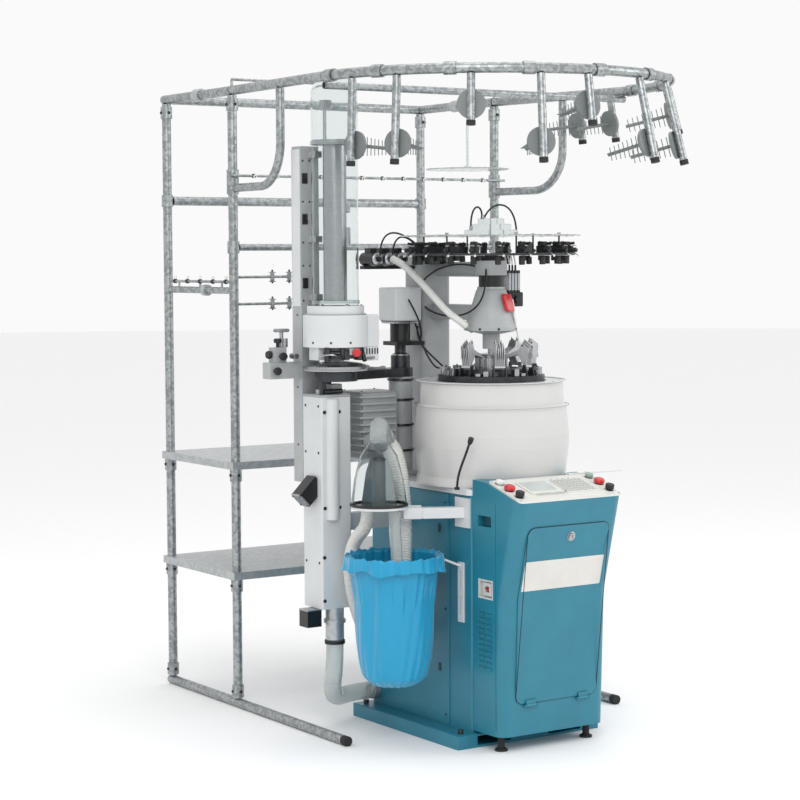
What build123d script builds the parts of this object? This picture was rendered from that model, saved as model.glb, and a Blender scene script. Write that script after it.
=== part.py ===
from build123d import *
import os
from math import atan2, cos, hypot, radians, sin, tan

# Sock knitting machine with an automatic toe-linking unit and a yarn creel.
# The origin is on the floor, on the axis of the needle cylinder.
# +X is the machine's right, -Y is the operator's side, +Z is up. Millimetres.

os.makedirs("parts", exist_ok=True)

# ---- running clearances ----
run_gap = 0.3            # between round pieces that turn near each other
bore_gap = 0.05          # radial clearance of a shaft in its bore
face_gap = 0.5           # between a cover that opens and what it closes

# ---- base and cabinet ----
base_width, base_depth, base_height = 600, 660, 47
base_mid_y = 110
base_front_y = base_mid_y - base_depth / 2
cabinet_half, cabinet_front, cabinet_back = 225, -195, 420
cabinet_depth = cabinet_back - cabinet_front
cabinet_mid_y = (cabinet_back + cabinet_front) / 2
cabinet_top, cabinet_wall = 850, 4
panel_thick, panel_front, panel_margin = 3, -66, 6
coupling_y, coupling_z, coupling_radius, coupling_wall = 395, 96, 33, 5
upper_coupling_y, upper_coupling_z = 250, 300
bed_half, bed_front, bed_back, bed_thick = 235, cabinet_front, 430, 20
bed_top = cabinet_top + bed_thick
drive_hole = 90

# ---- control box ----
box_half, box_wall, box_corner = 220, 3, 38
box_bottom, knee_z, panel_front_z, panel_back_z, box_top = 55, 515, 846, 900, 904
box_foot_y, knee_y, lip_y, panel_back_y, box_back = -355, -372, -454, -272, cabinet_front
door_left, door_right, door_low, door_high = -165, 175, 163, 760
door_thick, door_corner, door_lap = 3, 28, 20
hinge_drop, hinge_out, knuckle_radius, pin_radius, knuckle_length = 6, 9, 5, 2.5, 40
lock_x, lock_z, lock_radius, lock_height = 17, 720, 12, 6
panel_half, panel_plate = 214, 6
key_x, key_rows = 188, (62, 6, -52)
button_hole, button_travel, stem_below = 11, 4, 14
breaker_y, breaker_z, breaker_w, breaker_h, breaker_deep = -268, 543, 84, 66, 30
handle_y, handle_z, handle_w, handle_h = -263, 770, 74, 36
bar_radius, bar_end, bar_start = 3, 367, 120

# ---- knitting head ----
skirt_radius, drum_bulge, drum_top_radius, drum_wall = 264, 269, 260, 4
drum_seam, drum_top = 1137, 1221
ring_radius, ring_inner = 248, 190
cylinder_radius, cylinder_wall, cylinder_top = 57, 8, 1300
cylinder_foot, groove_count, groove_width, groove_depth, groove_foot = 780, 48, 1.6, 3, 1240
bearing_outer, cam_step_radius, cam_radius, cam_step, cam_top = 90, 185, 125, 1241, 1263
pulley_radius, pulley_low, pulley_high = 80, 787, 823
motor_pulley_radius, motor_y, motor_radius, motor_shaft = 32, 270, 70, 12
belt_thick = 3
dial_radius, dial_shaft, dial_low, dial_high = 52, 12, 1301, 1307
cutter_radius, cutter_thick, cutter_teeth = 60, 3, 36
head_foot, cone_low, cone_high, cone_radius, cone_neck = 1330, 1394, 1543, 95, 45
head_motor_radius, head_motor_top = 43, 1636
pillar_x, pillar_y, pillar_w, pillar_d, pillar_top = -22, 360, 125, 120, 1690
spigot_radius, spigot_root, spigot_end = 9, (-80, 2, 1394), (-113, -6, 1412)
arm_x, arm_low, arm_high, tube_arm_z, tube_arm_radius = -8, 1428, 1480, 1604, 26
feeder_angles = (200, 245, 290, 335, 20)
feeder_pivot, feeder_pivot_z, feeder_barrel, feeder_pin = 150, 1272, 6, 3
finger_thick, finger_count, finger_pitch = 3, 5, 7
selector_inner, selector_outer, selector_thick, selector_low = 228, 290, 8, 1652
device_count, device_radius = 20, 262
disc_radius, disc_low, disc_thick, disc_holes = 310, 1718, 4, 24
hat_steps = ((92, 1740), (70, 1760), (46, 1780))

# ---- stand and creel ----
tube_dia, tube_wall, thin_rod = 34, 2, 10
stand_left, stand_right, stand_back, stand_front = -571, 597, 1317, 801
foot_z, foot_front, top_z = 17, 66, 2250
cross_back_z, cross_front_z, side_rail_z, guide_rod_z = 1866, 1686, 1529, 1944
high_rod_z = 2290
ring_x, ring_y, creel_radius, arc_count, joint_turn = 45, 110, 645, 8, 0.03
shelf_tops, shelf_thick, shelf_lap, shelf_skin = (906, 501), 28, 24, 2
brace_y, brace_low, brace_dia, tube_gap = 430, 1900, 30, 0.6
cross_tube_y, cross_tube_dia, end_sleeve_turn = 118, 25, 3.2
disc_x, guide_disc_radius, guide_disc_z = -15, 145, 1950
clamp_radius, clamp_length, sleeve_length = 22, 44, 40
drop_dia, drop_long, drop_short = 27, 270, 150
peg_disc_radius, peg_disc_thick, peg_length, peg_radius, spike_count, spike_reach = 47, 10, 150, 6, 8, 34

# ---- toe-linking unit ----
station_x, station_y = -496, 222
pipe_foot, collar_length = 330, 26
nozzle_x, nozzle_y, nozzle_z = -358, 152, 1010
pivot_x, pivot_y, pivot_radius, pivot_shaft = -160, 330, 42, 20
arm_plate_low, arm_plate_high = 1226, 1256
box_x0, box_x1, box_y0, box_y1, link_box_low, link_box_top, link_skin = -560, -442, 214, 340, 440, 1170, 3
bump_radius, bump_low, bump_high, bump_x = 24, 750, 1165, -519
post_x0, post_x1, post_y0, post_y1, post_foot, column_top = -560, -490, 340, 400, 870, 2030
table_radius, table_low, table_high, link_ring_radius, link_ring_high = 108, 1262, 1270, 116, 1291
head_low, head_high, head_radius, flange_radius, flange_high = 1344, 1453, 112, 98, 1484
tube_radius, tube_skin, tube_top = 80, 3, 2205
lift_radius, lift_low, lift_high, lift_bore = 40, 1500, 2030, 41

# ---- sock take-off and bag ----
bell_x, bell_y, bell_radius, bell_low, bell_high = -480, -20, 93, 809, 1055
bag_x, bag_y, bag_radius, bag_low, bag_high, bag_wall = -430, -35, 156.6, 220, 640, 4
bag_ring_radius, bag_wire, bag_ring_z = 160, 3, 634
holder_y, holder_low, holder_high, holder_width, holder_thick = -139, 416, 620, 30, 7


def save(piece, name):
    """Label a finished piece and write it as its own STEP file."""
    piece.part.label = name
    export_step(piece.part, f"parts/{name}.step")


def rod(start, end, diameter, wall=0):
    """A straight round rod, or a tube where a wall is given, between two points."""
    axis = Vector(*end) - Vector(*start)
    with BuildSketch(Plane(origin=start, z_dir=axis)) as section:
        Circle(diameter / 2)
        if wall:
            Circle(diameter / 2 - wall, mode=Mode.SUBTRACT)
    extrude(section.sketch, amount=axis.length)


def block(low, high, mode=Mode.ADD):
    """A rectangular block between two opposite corners."""
    size = [b - a for a, b in zip(low, high)]
    middle = [(a + b) / 2 for a, b in zip(low, high)]
    with Locations(tuple(middle)):
        Box(*size, mode=mode)


def turned(points, x=0, y=0, mode=Mode.ADD):
    """A solid turned about a vertical axis at x, y, from radius and height pairs."""
    with BuildSketch(Plane(origin=(x, y, 0), x_dir=(1, 0, 0), z_dir=(0, -1, 0))) as profile:
        with BuildLine():
            Polyline(*points, close=True)
        make_face()
    revolve(profile.sketch, axis=Axis((x, y, 0), (0, 0, 1)), mode=mode)


def drum(radius, low, high, x=0, y=0, mode=Mode.ADD):
    """An upright cylinder between two heights."""
    with Locations((x, y, (low + high) / 2)):
        Cylinder(radius, high - low, mode=mode)


def hose(points, diameter, wall):
    """A bent tube of straight runs and the largest arcs that its runs allow."""
    places = [Vector(*point) for point in points]
    runs = [places[i + 1] - places[i] for i in range(len(places) - 1)]
    radii = []
    for first, second in zip(runs, runs[1:]):
        half_turn = radians(first.get_angle(second)) / 2
        radii.append(0.45 * min(first.length, second.length) / tan(half_turn))
    with BuildLine() as path:
        FilletPolyline(*points, radius=radii)
    with BuildSketch(Plane(origin=points[0], z_dir=runs[0])) as section:
        Circle(diameter / 2)
        Circle(diameter / 2 - wall, mode=Mode.SUBTRACT)
    route = path.wires()[0]
    swept = sweep(section.sketch, path=route)
    print("hose length", round(route.length), "radii", [round(radius) for radius in radii],
          "volume ratio", round(swept.volume / (section.sketch.area * route.length), 4))


# ---------------------------------------------------------------- base and cabinet
def make_base_plate():
    """The sheet-steel base box, with two slots for pallet forks."""
    with BuildPart() as base:
        block((-base_width / 2, base_front_y, 0), (base_width / 2, base_front_y + base_depth, base_height))
        fillet(base.edges().filter_by(Axis.Z), radius=4)
        chamfer(base.faces().sort_by(Axis.Z)[-1].edges(), length=2.5)
        fork_low, fork_high, fork_half, fork_x = 8, 39, 70, 150
        for x in (-fork_x, fork_x):
            block((x - fork_half, base_front_y - 1, fork_low),
                  (x + fork_half, base_front_y + base_depth + 1, fork_high), mode=Mode.SUBTRACT)
    save(base, "base_plate")


def make_cabinet_shell():
    """The cabinet, open below, with the drive hole in its top."""
    w = cabinet_wall
    with BuildPart() as shell:
        block((-cabinet_half, cabinet_front, base_height), (cabinet_half, cabinet_back, cabinet_top))
        fillet(shell.edges().filter_by(Axis.Z), radius=6)
        block((-cabinet_half + w, cabinet_front + w, base_height - 1),
              (cabinet_half - w, cabinet_back - w, cabinet_top - w), mode=Mode.SUBTRACT)
        drum(drive_hole, cabinet_top - w - 1, cabinet_top + 1, mode=Mode.SUBTRACT)
        for y, z in ((coupling_y, coupling_z), (upper_coupling_y, upper_coupling_z)):
            rod_hole = Plane(origin=(-cabinet_half - 1, y, z), z_dir=(1, 0, 0))
            with BuildSketch(rod_hole) as hole:
                Circle(coupling_radius - coupling_wall)
            extrude(hole.sketch, amount=w + 2, mode=Mode.SUBTRACT)
    save(shell, "cabinet_shell")


def make_side_panels():
    """The two screwed-on side covers. The left one is pierced for the hose collars."""
    low, high = base_height + panel_margin, cabinet_top - panel_margin
    back = cabinet_back - panel_margin
    with BuildPart() as panels:
        for side in (-1, 1):
            inner, outer = side * cabinet_half, side * (cabinet_half + panel_thick)
            block((min(inner, outer), panel_front, low), (max(inner, outer), back, high))
        for y, z in ((coupling_y, coupling_z), (upper_coupling_y, upper_coupling_z)):
            with BuildSketch(Plane(origin=(-cabinet_half - panel_thick - 1, y, z), z_dir=(1, 0, 0))) as hole:
                Circle(coupling_radius + run_gap)
            extrude(hole.sketch, amount=panel_thick + 1, mode=Mode.SUBTRACT)
    save(panels, "side_panels")


def make_bed_plate():
    """The machined bed that carries the drum, pillar and pivot column."""
    with BuildPart() as bed:
        block((-bed_half, bed_front, cabinet_top), (bed_half, bed_back, bed_top))
        fillet(bed.edges().filter_by(Axis.Z), radius=20)
        chamfer(bed.faces().sort_by(Axis.Z)[-1].edges(), length=1.5)
        drum(drive_hole, cabinet_top - 1, bed_top + 1, mode=Mode.SUBTRACT)
    save(bed, "bed_plate")


# ---------------------------------------------------------------- main drive
def make_main_motor():
    """The main motor and the plate that hangs it inside the cabinet."""
    plate_low = cylinder_foot - 10
    plate_high = plate_low + 8
    inner = cabinet_half - cabinet_wall
    with BuildPart() as motor:
        block((-inner, motor_y - 80, plate_low), (inner, motor_y + 80, plate_high))
        drum(motor_radius, plate_low - 200, plate_low, y=motor_y)
        for turn in range(0, 360, 20):
            fin = Plane(origin=(0, motor_y, plate_low - 190)).rotated((0, 0, turn))
            with BuildSketch(fin) as rib:
                with Locations((motor_radius + 3, 0)):
                    Rectangle(10, 3)
            extrude(rib.sketch, amount=170)
        drum(motor_shaft + bore_gap, plate_low - 60, plate_high + 1, y=motor_y, mode=Mode.SUBTRACT)
    save(motor, "main_motor")


def make_motor_pulley():
    """The toothed pulley on the motor shaft."""
    with BuildPart() as pulley:
        drum(motor_shaft, cylinder_foot - 65, pulley_high + 6, y=motor_y)
        drum(motor_pulley_radius, pulley_low, pulley_high, y=motor_y)
        for z in (pulley_low, pulley_high - 2):
            drum(motor_pulley_radius + 2, z, z + 2, y=motor_y)
    save(pulley, "motor_pulley")


def make_drive_belt():
    """The toothed belt from the motor pulley to the cylinder pulley."""
    with BuildPart() as belt:
        for outward, mode in ((belt_thick, Mode.ADD), (0, Mode.SUBTRACT)):
            with BuildSketch(Plane.XY.offset(pulley_low + 4)) as loop:
                with BuildLine():
                    CenterArc((0, 0), pulley_radius + run_gap + outward, 0, 360)
                    CenterArc((0, motor_y), motor_pulley_radius + run_gap + outward, 0, 360)
                make_hull()
            extrude(loop.sketch, amount=pulley_high - pulley_low - 8, mode=mode)
    save(belt, "drive_belt")


# ---------------------------------------------------------------- control box
def front_y(z):
    """The y of the control box's front at a height: straight below and above the knee."""
    if z <= knee_z:
        return box_foot_y + (knee_y - box_foot_y) * (z - box_bottom) / (knee_z - box_bottom)
    return knee_y + (lip_y - knee_y) * (z - knee_z) / (panel_front_z - knee_z)


def box_outline(inset):
    """The side profile of the control box, moved in by a wall."""
    return [(box_back + (1 if inset else 0), box_bottom + inset), (box_foot_y + inset, box_bottom + inset),
            (knee_y + inset, knee_z), (lip_y + inset * 1.3, panel_front_z - inset * 0.8),
            (panel_back_y, panel_back_z - inset), (box_back + (1 if inset else 0), box_top - inset)]


def box_solid(inset, corner, mode=Mode.ADD):
    """The control box's outer or inner form, with rounded front corners."""
    with BuildSketch(Plane.YZ.offset(-box_half + inset)) as profile:
        with BuildLine():
            Polyline(*box_outline(inset), close=True)
        make_face()
    body = extrude(profile.sketch, amount=2 * (box_half - inset), mode=Mode.PRIVATE)
    front = [e for e in body.edges() if abs(abs(e.center().X) - (box_half - inset)) < 0.01
             and e.center().Y < box_foot_y + inset + 0.01 and e.center().Z < panel_front_z
             and abs(e.tangent_at(0.5).Z) > 0.5]
    add(body.fillet(corner, front), mode=mode)


def make_control_box():
    """The control box shell: open at the back, with cut-outs under its door and panel."""
    with BuildPart() as box:
        box_solid(0, box_corner)
        box_solid(box_wall, box_corner - box_wall, mode=Mode.SUBTRACT)
        with BuildSketch(Plane.XZ.offset(300)) as opening:
            with Locations(((door_left + door_right) / 2, (door_low + door_high) / 2)):
                RectangleRounded(door_right - door_left - 2 * door_lap, door_high - door_low - 2 * door_lap,
                                 door_corner - 8)
        extrude(opening.sketch, amount=200, mode=Mode.SUBTRACT)
        drum(skirt_radius + 1, bed_top - 10, box_top + 1, mode=Mode.SUBTRACT)
        for x in (-key_x, key_x):
            for row in key_rows:
                top = panel_plane.from_local_coords(Vector(x, row, 0))
                with BuildSketch(Plane(origin=top, z_dir=panel_plane.z_dir)) as hole:
                    Circle(button_hole + 1)
                extrude(hole.sketch, amount=-12, mode=Mode.SUBTRACT)
        block((-box_half - 1, breaker_y - breaker_w / 2, breaker_z - breaker_h / 2),
              (-box_half + box_wall + 1, breaker_y + breaker_w / 2, breaker_z + breaker_h / 2), mode=Mode.SUBTRACT)
        block((-box_half, handle_y - handle_w / 2 - 3, handle_z - handle_h / 2 - 3),
              (-box_half + 26, handle_y + handle_w / 2 + 3, handle_z + handle_h / 2 + 3))
        block((-box_half - 1, handle_y - handle_w / 2, handle_z - handle_h / 2),
              (-box_half + 23, handle_y + handle_w / 2, handle_z + handle_h / 2), mode=Mode.SUBTRACT)
        for x in (door_left + 60, door_right - 60):
            rod((x - knuckle_length / 2 - 8, hinge_y, hinge_z), (x + knuckle_length / 2 + 8, hinge_y, hinge_z),
                2 * pin_radius)
            for end in (x - knuckle_length / 2 - 8, x + knuckle_length / 2 + 2):
                block((end, hinge_y - knuckle_radius, hinge_z - knuckle_radius),
                      (end + 6, front_y(hinge_z) + 1, hinge_z + knuckle_radius - 1))
    save(box, "control_box")


def make_control_door():
    """The kneed front door, with two hinge knuckles along its lower edge."""
    with BuildPart() as door:
        outer = [(front_y(z) - face_gap - door_thick, z) for z in (door_low, knee_z, door_high)]
        inner = [(front_y(z) - face_gap, z) for z in (door_high, knee_z, door_low)]
        with BuildSketch(Plane.YZ.offset(door_left)) as profile:
            with BuildLine():
                Polyline(*(outer + inner), close=True)
            make_face()
        extrude(profile.sketch, amount=door_right - door_left)
        with BuildSketch(Plane.XZ.offset(300)) as window:
            with Locations(((door_left + door_right) / 2, (door_low + door_high) / 2)):
                RectangleRounded(door_right - door_left, door_high - door_low, door_corner)
        extrude(window.sketch, amount=200, mode=Mode.INTERSECT)
        for x in (door_left + 60, door_right - 60):
            start, end = x - knuckle_length / 2, x + knuckle_length / 2
            rod((start, hinge_y, hinge_z), (end, hinge_y, hinge_z), 2 * knuckle_radius)
            block((start, hinge_y, hinge_z + 1), (end, front_y(door_low) - face_gap, door_low + 12))
        for x in (door_left + 60, door_right - 60):
            bore = Plane(origin=(x - knuckle_length, hinge_y, hinge_z), z_dir=(1, 0, 0))
            with BuildSketch(bore) as hole:
                Circle(pin_radius + bore_gap)
            extrude(hole.sketch, amount=2 * knuckle_length, mode=Mode.SUBTRACT)
        with BuildSketch(lock_plane) as hole:
            Circle(lock_radius / 2 + bore_gap)
        extrude(hole.sketch, amount=-2 * door_thick - 4, mode=Mode.SUBTRACT)
    save(door, "control_door")


def make_door_lock():
    """The quarter-turn lock in the top of the door."""
    with BuildPart() as lock:
        with BuildSketch(lock_plane.offset(run_gap)) as face:
            Circle(lock_radius)
        extrude(face.sketch, amount=lock_height)
        with BuildSketch(lock_plane.offset(run_gap)) as stem:
            Circle(lock_radius / 2)
        extrude(stem.sketch, amount=-door_thick - 6)
        with BuildSketch(lock_plane.offset(run_gap + lock_height)) as slot:
            Rectangle(2, lock_radius)
        extrude(slot.sketch, amount=-3, mode=Mode.SUBTRACT)
    save(lock, "door_lock")


def make_operator_panel():
    """The sloping panel plate, its screen and key fields, and the bar behind it."""
    depth = hypot(panel_back_y - lip_y, panel_back_z - panel_front_z)
    with BuildPart() as panel:
        with BuildSketch(panel_plane) as plate:
            RectangleRounded(2 * panel_half, depth, 14)
        extrude(plate.sketch, amount=panel_plate)
        with BuildSketch(panel_plane.offset(panel_plate)) as fields:
            with Locations((-66, 6)):
                RectangleRounded(132, 104, 6)
            with Locations((78, 6)):
                RectangleRounded(132, 112, 6)
        extrude(fields.sketch, amount=2)
        with BuildSketch(panel_plane.offset(-1)) as holes:
            for row in key_rows:
                with Locations((-key_x, row), (key_x, row)):
                    Circle(button_hole)
        extrude(holes.sketch, amount=panel_plate + 2, mode=Mode.SUBTRACT)
        bar_y, bar_z = panel_back_y + 6, panel_back_z + bar_radius + 4
        rod((bar_start, bar_y, bar_z), (bar_end, bar_y, bar_z), 2 * bar_radius)
        for x in (bar_start + 6, panel_half - 12):
            block((x, bar_y - 12, bar_z - 5), (x + 10, bar_y + 4, bar_z + 4))
    save(panel, "operator_panel")


def make_button(name, side, row, cap_radius, cap_height, domed):
    """One panel button or knob: a cap above the panel and a stem through it."""
    centre = panel_plane.from_local_coords(Vector(side * key_x, key_rows[row], panel_plate))
    plane = Plane(origin=centre, x_dir=(1, 0, 0), z_dir=panel_plane.z_dir)
    with BuildPart() as button:
        with BuildSketch(plane.offset(-panel_plate - stem_below)) as stem:
            Circle(button_hole - bore_gap)
        extrude(stem.sketch, amount=panel_plate + stem_below + button_travel + 3)
        with BuildSketch(plane.offset(button_travel + 2)) as cap:
            Circle(cap_radius)
        extrude(cap.sketch, amount=cap_height)
        top = button.faces().sort_by(Axis(centre, panel_plane.z_dir))[-1]
        fillet(top.edges(), radius=cap_height * (0.6 if domed else 0.15))
    save(button, name)


def make_breaker():
    """The recessed breaker body and its toggle."""
    half_w, half_h = breaker_w / 2 - 0.5, breaker_h / 2 - 0.5
    face = -box_half
    with BuildPart() as body:
        block((face, breaker_y - half_w, breaker_z - half_h),
              (face + breaker_deep, breaker_y + half_w, breaker_z + half_h))
        block((face - 1, breaker_y - half_w + 6, breaker_z - half_h + 6),
              (face + 14, breaker_y + half_w - 6, breaker_z + half_h - 6), mode=Mode.SUBTRACT)
        block((face + 4, breaker_y - 28, breaker_z - 22), (face + 15, breaker_y + 18, breaker_z + 22))
        block((face - 1, breaker_y - 14, breaker_z - 10), (face + 26, breaker_y + 6, breaker_z + 10),
              mode=Mode.SUBTRACT)
        rod((face + 12, breaker_y - 15, breaker_z), (face + 12, breaker_y + 7, breaker_z), 3)
    save(body, "breaker_body")
    with BuildPart() as toggle:
        rod((face + 12, breaker_y - 13, breaker_z), (face + 12, breaker_y + 5, breaker_z), 12)
        block((face + 1, breaker_y - 13, breaker_z + 1), (face + 12, breaker_y + 5, breaker_z + 5.5))
        with BuildSketch(Plane(origin=(face + 12, breaker_y - 20, breaker_z), z_dir=(0, 1, 0))) as bore:
            Circle(1.5 + bore_gap)
        extrude(bore.sketch, amount=40, mode=Mode.SUBTRACT)
    save(toggle, "breaker_toggle")


# ---------------------------------------------------------------- knitting head
def make_drum_cover():
    """The lower drum cover: a skirt, a gentle bulge and a seam under the ring."""
    w = drum_wall
    with BuildPart() as cover:
        turned([(skirt_radius, bed_top), (skirt_radius, bed_top + 8), (skirt_radius - 6, bed_top + 30),
                (drum_bulge, bed_top + 130), (drum_bulge, bed_top + 170), (drum_top_radius, drum_seam),
                (drum_top_radius - w, drum_seam), (drum_bulge - w, bed_top + 168),
                (drum_bulge - w, bed_top + 132), (skirt_radius - 6 - w, bed_top + 32), (skirt_radius - w, bed_top)])
    save(cover, "drum_cover")


def make_drum_ring():
    """The upper drum ring with its flat top."""
    w = drum_wall
    with BuildPart() as ring:
        turned([(drum_top_radius, drum_seam), (ring_radius + 3, drum_seam + 8), (ring_radius, drum_top - 4),
                (ring_radius - 4, drum_top), (ring_inner, drum_top), (ring_inner, drum_top - w),
                (ring_radius - w - 2, drum_top - w), (ring_radius - w, drum_seam + 10),
                (drum_top_radius - w - 2, drum_seam)])
    save(ring, "drum_ring")


def make_cam_housing():
    """The cylinder bearing, the cam plate on it and the lugs of the yarn feeders."""
    bore = cylinder_radius + bore_gap
    seat = drum_top - drum_wall
    with BuildPart() as cam:
        turned([(bore, bed_top), (bearing_outer + 25, bed_top), (bearing_outer + 25, bed_top + 15),
                (bearing_outer, bed_top + 20), (bearing_outer, seat - 20), (ring_inner + 20, seat - 12),
                (ring_inner + 20, seat), (cam_step_radius, seat), (cam_step_radius, cam_step),
                (cam_radius, cam_step), (cam_radius - 4, cam_top), (bore + 4, cam_top), (bore, cam_top - 4)])
        for angle in feeder_angles:
            frame = Plane(origin=(0, 0, 0)).rotated((0, 0, angle))
            for side in (-1, 1):
                with BuildSketch(Plane(origin=frame.from_local_coords(Vector(0, side * 21, 0)),
                                       x_dir=frame.x_dir, z_dir=-frame.y_dir)) as lug:
                    with BuildLine():
                        Polyline((feeder_pivot - 14, cam_step - 1), (feeder_pivot + 14, cam_step - 1),
                                 (feeder_pivot + 6, feeder_pivot_z + 6), (feeder_pivot - 6, feeder_pivot_z + 6),
                                 close=True)
                    make_face()
                extrude(lug.sketch, amount=2, both=True)
            start = frame.from_local_coords(Vector(feeder_pivot, -21, feeder_pivot_z))
            end = frame.from_local_coords(Vector(feeder_pivot, 21, feeder_pivot_z))
            rod(start, end, 2 * feeder_pin)
    save(cam, "cam_housing")


def make_needle_cylinder():
    """The needle cylinder, grooved for its needles, with its drive pulley below."""
    with BuildPart() as cylinder:
        drum(cylinder_radius, cylinder_foot, cylinder_top)
        drum(pulley_radius, pulley_low, pulley_high)
        drum(cylinder_radius - cylinder_wall, cylinder_foot - 1, cylinder_top + 1, mode=Mode.SUBTRACT)
        chamfer(cylinder.faces().sort_by(Axis.Z)[-1].edges(), length=1)
        with BuildSketch(Plane.XY.offset(groove_foot)) as grooves:
            with PolarLocations(cylinder_radius, groove_count):
                Rectangle(2 * groove_depth, groove_width)
        extrude(grooves.sketch, amount=cylinder_top - groove_foot + 1, mode=Mode.SUBTRACT)
    save(cylinder, "needle_cylinder")


def make_dial():
    """The dial over the cylinder, its toothed cutter and its shaft up into the head."""
    with BuildPart() as dial:
        drum(dial_radius, dial_low, dial_high)
        drum(dial_shaft, dial_low, cone_high - 3)
        drum(30, dial_high, dial_high + 3)
        drum(cutter_radius, dial_high + 3, dial_high + 3 + cutter_thick)
        with BuildSketch(Plane.XY.offset(dial_high + 2)) as teeth:
            with PolarLocations(cutter_radius, cutter_teeth):
                RegularPolygon(3, 3, rotation=180)
        extrude(teeth.sketch, amount=cutter_thick + 2, mode=Mode.SUBTRACT)
    save(dial, "dial_cutter")


def make_yarn_feeder(number, angle):
    """A group of yarn fingers on one barrel, leaning in to the needles."""
    frame = Plane(origin=(0, 0, 0)).rotated((0, 0, angle))
    half = (finger_count - 1) / 2
    with BuildPart() as feeder:
        for index in range(finger_count):
            across = (index - half) * finger_pitch
            lift = 6 * ((index + number) % 3)
            side = Plane(origin=frame.from_local_coords(Vector(0, across, 0)),
                         x_dir=frame.x_dir, z_dir=-frame.y_dir)
            with BuildSketch(side) as finger:
                with BuildLine():
                    Polyline((feeder_pivot + 3, feeder_pivot_z - 4), (feeder_pivot + 14, 1334 + lift),
                             (feeder_pivot - 12, 1354 + lift), (feeder_pivot - 24, 1332), (72, 1308),
                             (64, 1303), (66, 1299), (feeder_pivot - 30, 1313),
                             (feeder_pivot - 6, feeder_pivot_z), close=True)
                make_face()
            extrude(finger.sketch, amount=finger_thick / 2, both=True)
        length = 2 * 18.7
        start = frame.from_local_coords(Vector(feeder_pivot, -length / 2, feeder_pivot_z))
        end = frame.from_local_coords(Vector(feeder_pivot, length / 2, feeder_pivot_z))
        rod(start, end, 2 * feeder_barrel)
        with BuildSketch(Plane(origin=start, z_dir=frame.y_dir)) as bore:
            Circle(feeder_pin + bore_gap)
        extrude(bore.sketch, amount=length, mode=Mode.SUBTRACT)
    save(feeder, f"yarn_feeder_{number}")


def make_head_pillar():
    """The rear pillar with its two arms, and the cone casting over the cylinder."""
    x0, x1 = pillar_x - pillar_w / 2, pillar_x + pillar_w / 2
    y0, y1 = pillar_y - pillar_d / 2, pillar_y + pillar_d / 2
    bore = dial_shaft + bore_gap
    with BuildPart() as pillar:
        block((x0, y0, bed_top), (x1, y1, pillar_top))
        fillet(pillar.edges().filter_by(Axis.Z), radius=18)
        fillet(pillar.faces().sort_by(Axis.Z)[-1].edges(), radius=8)
        block((x0 + 12, y0 + 12, bed_top + 12), (x1 - 12, y1 - 12, pillar_top - 12), mode=Mode.SUBTRACT)
        block((arm_x - 38, 40, arm_low), (arm_x + 38, y0 + 5, arm_high))
        rod((arm_x, y0 + 5, tube_arm_z), (arm_x, head_motor_radius + 4, tube_arm_z), 2 * tube_arm_radius)
        drum(head_motor_radius + 12, tube_arm_z - 20, head_motor_top - 2)
        drum(head_motor_radius + run_gap, tube_arm_z - 21, head_motor_top, mode=Mode.SUBTRACT)
        turned([(bore, head_foot), (30, head_foot), (30, cone_low - 14), (cone_radius, cone_low),
                (cone_radius, cone_low + 12), (cone_radius - 12, cone_low + 40), (cone_neck + 8, cone_high - 14),
                (cone_neck, cone_high), (bore, cone_high)])
        drum(bore, head_foot - 1, cone_high + 1, mode=Mode.SUBTRACT)
        rod(spigot_root, spigot_end, 2 * spigot_radius)
    save(pillar, "head_pillar")


def make_selector_ring():
    """The spoked ring that carries the yarn devices, and the posts of the disc."""
    with BuildPart() as ring:
        with BuildSketch(Plane.XY.offset(selector_low)) as plate:
            Circle(selector_outer)
            Circle(selector_inner, mode=Mode.SUBTRACT)
            Circle(56)
            for spoke in range(6):
                with Locations(Rotation(0, 0, 60 * spoke + 15)):
                    with Locations((selector_inner / 2 + 10, 0)):
                        Rectangle(selector_inner, 22)
        extrude(plate.sketch, amount=selector_thick)
        for spoke in range(6):
            turn = radians(60 * spoke + 15)
            x, y = (selector_inner + 8) * cos(turn), (selector_inner + 8) * sin(turn)
            drum(3, selector_low + selector_thick, disc_low, x, y)
    save(ring, "selector_ring")


def make_yarn_devices():
    """The yarn devices round the selector ring: a body, a nose and a thread eye each."""
    top = selector_low + selector_thick
    with BuildPart() as devices:
        for index in range(device_count):
            frame = Plane(origin=(0, 0, top)).rotated((0, 0, 360 * index / device_count + 6))
            with BuildSketch(frame) as body:
                with Locations((device_radius, 0)):
                    Rectangle(46, 22)
            extrude(body.sketch, amount=24)
            with BuildSketch(frame.offset(6)) as nose:
                with Locations((device_radius + 28, 0)):
                    Rectangle(14, 10)
            extrude(nose.sketch, amount=12)
    save(devices, "yarn_devices")


def make_yarn_disc():
    """The clear disc over the ring with its thread holes and stepped hat."""
    with BuildPart() as disc:
        with BuildSketch(Plane.XY.offset(disc_low)) as plate:
            Circle(disc_radius)
            with PolarLocations(disc_radius - 25, disc_holes):
                Circle(6, mode=Mode.SUBTRACT)
        extrude(plate.sketch, amount=disc_thick)
        profile = [(0, disc_low + disc_thick)]
        height = disc_low + disc_thick
        for radius, top in hat_steps:
            profile += [(radius, height), (radius, top)]
            height = top
        turned(profile + [(0, height)])
    save(disc, "yarn_disc")


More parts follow.
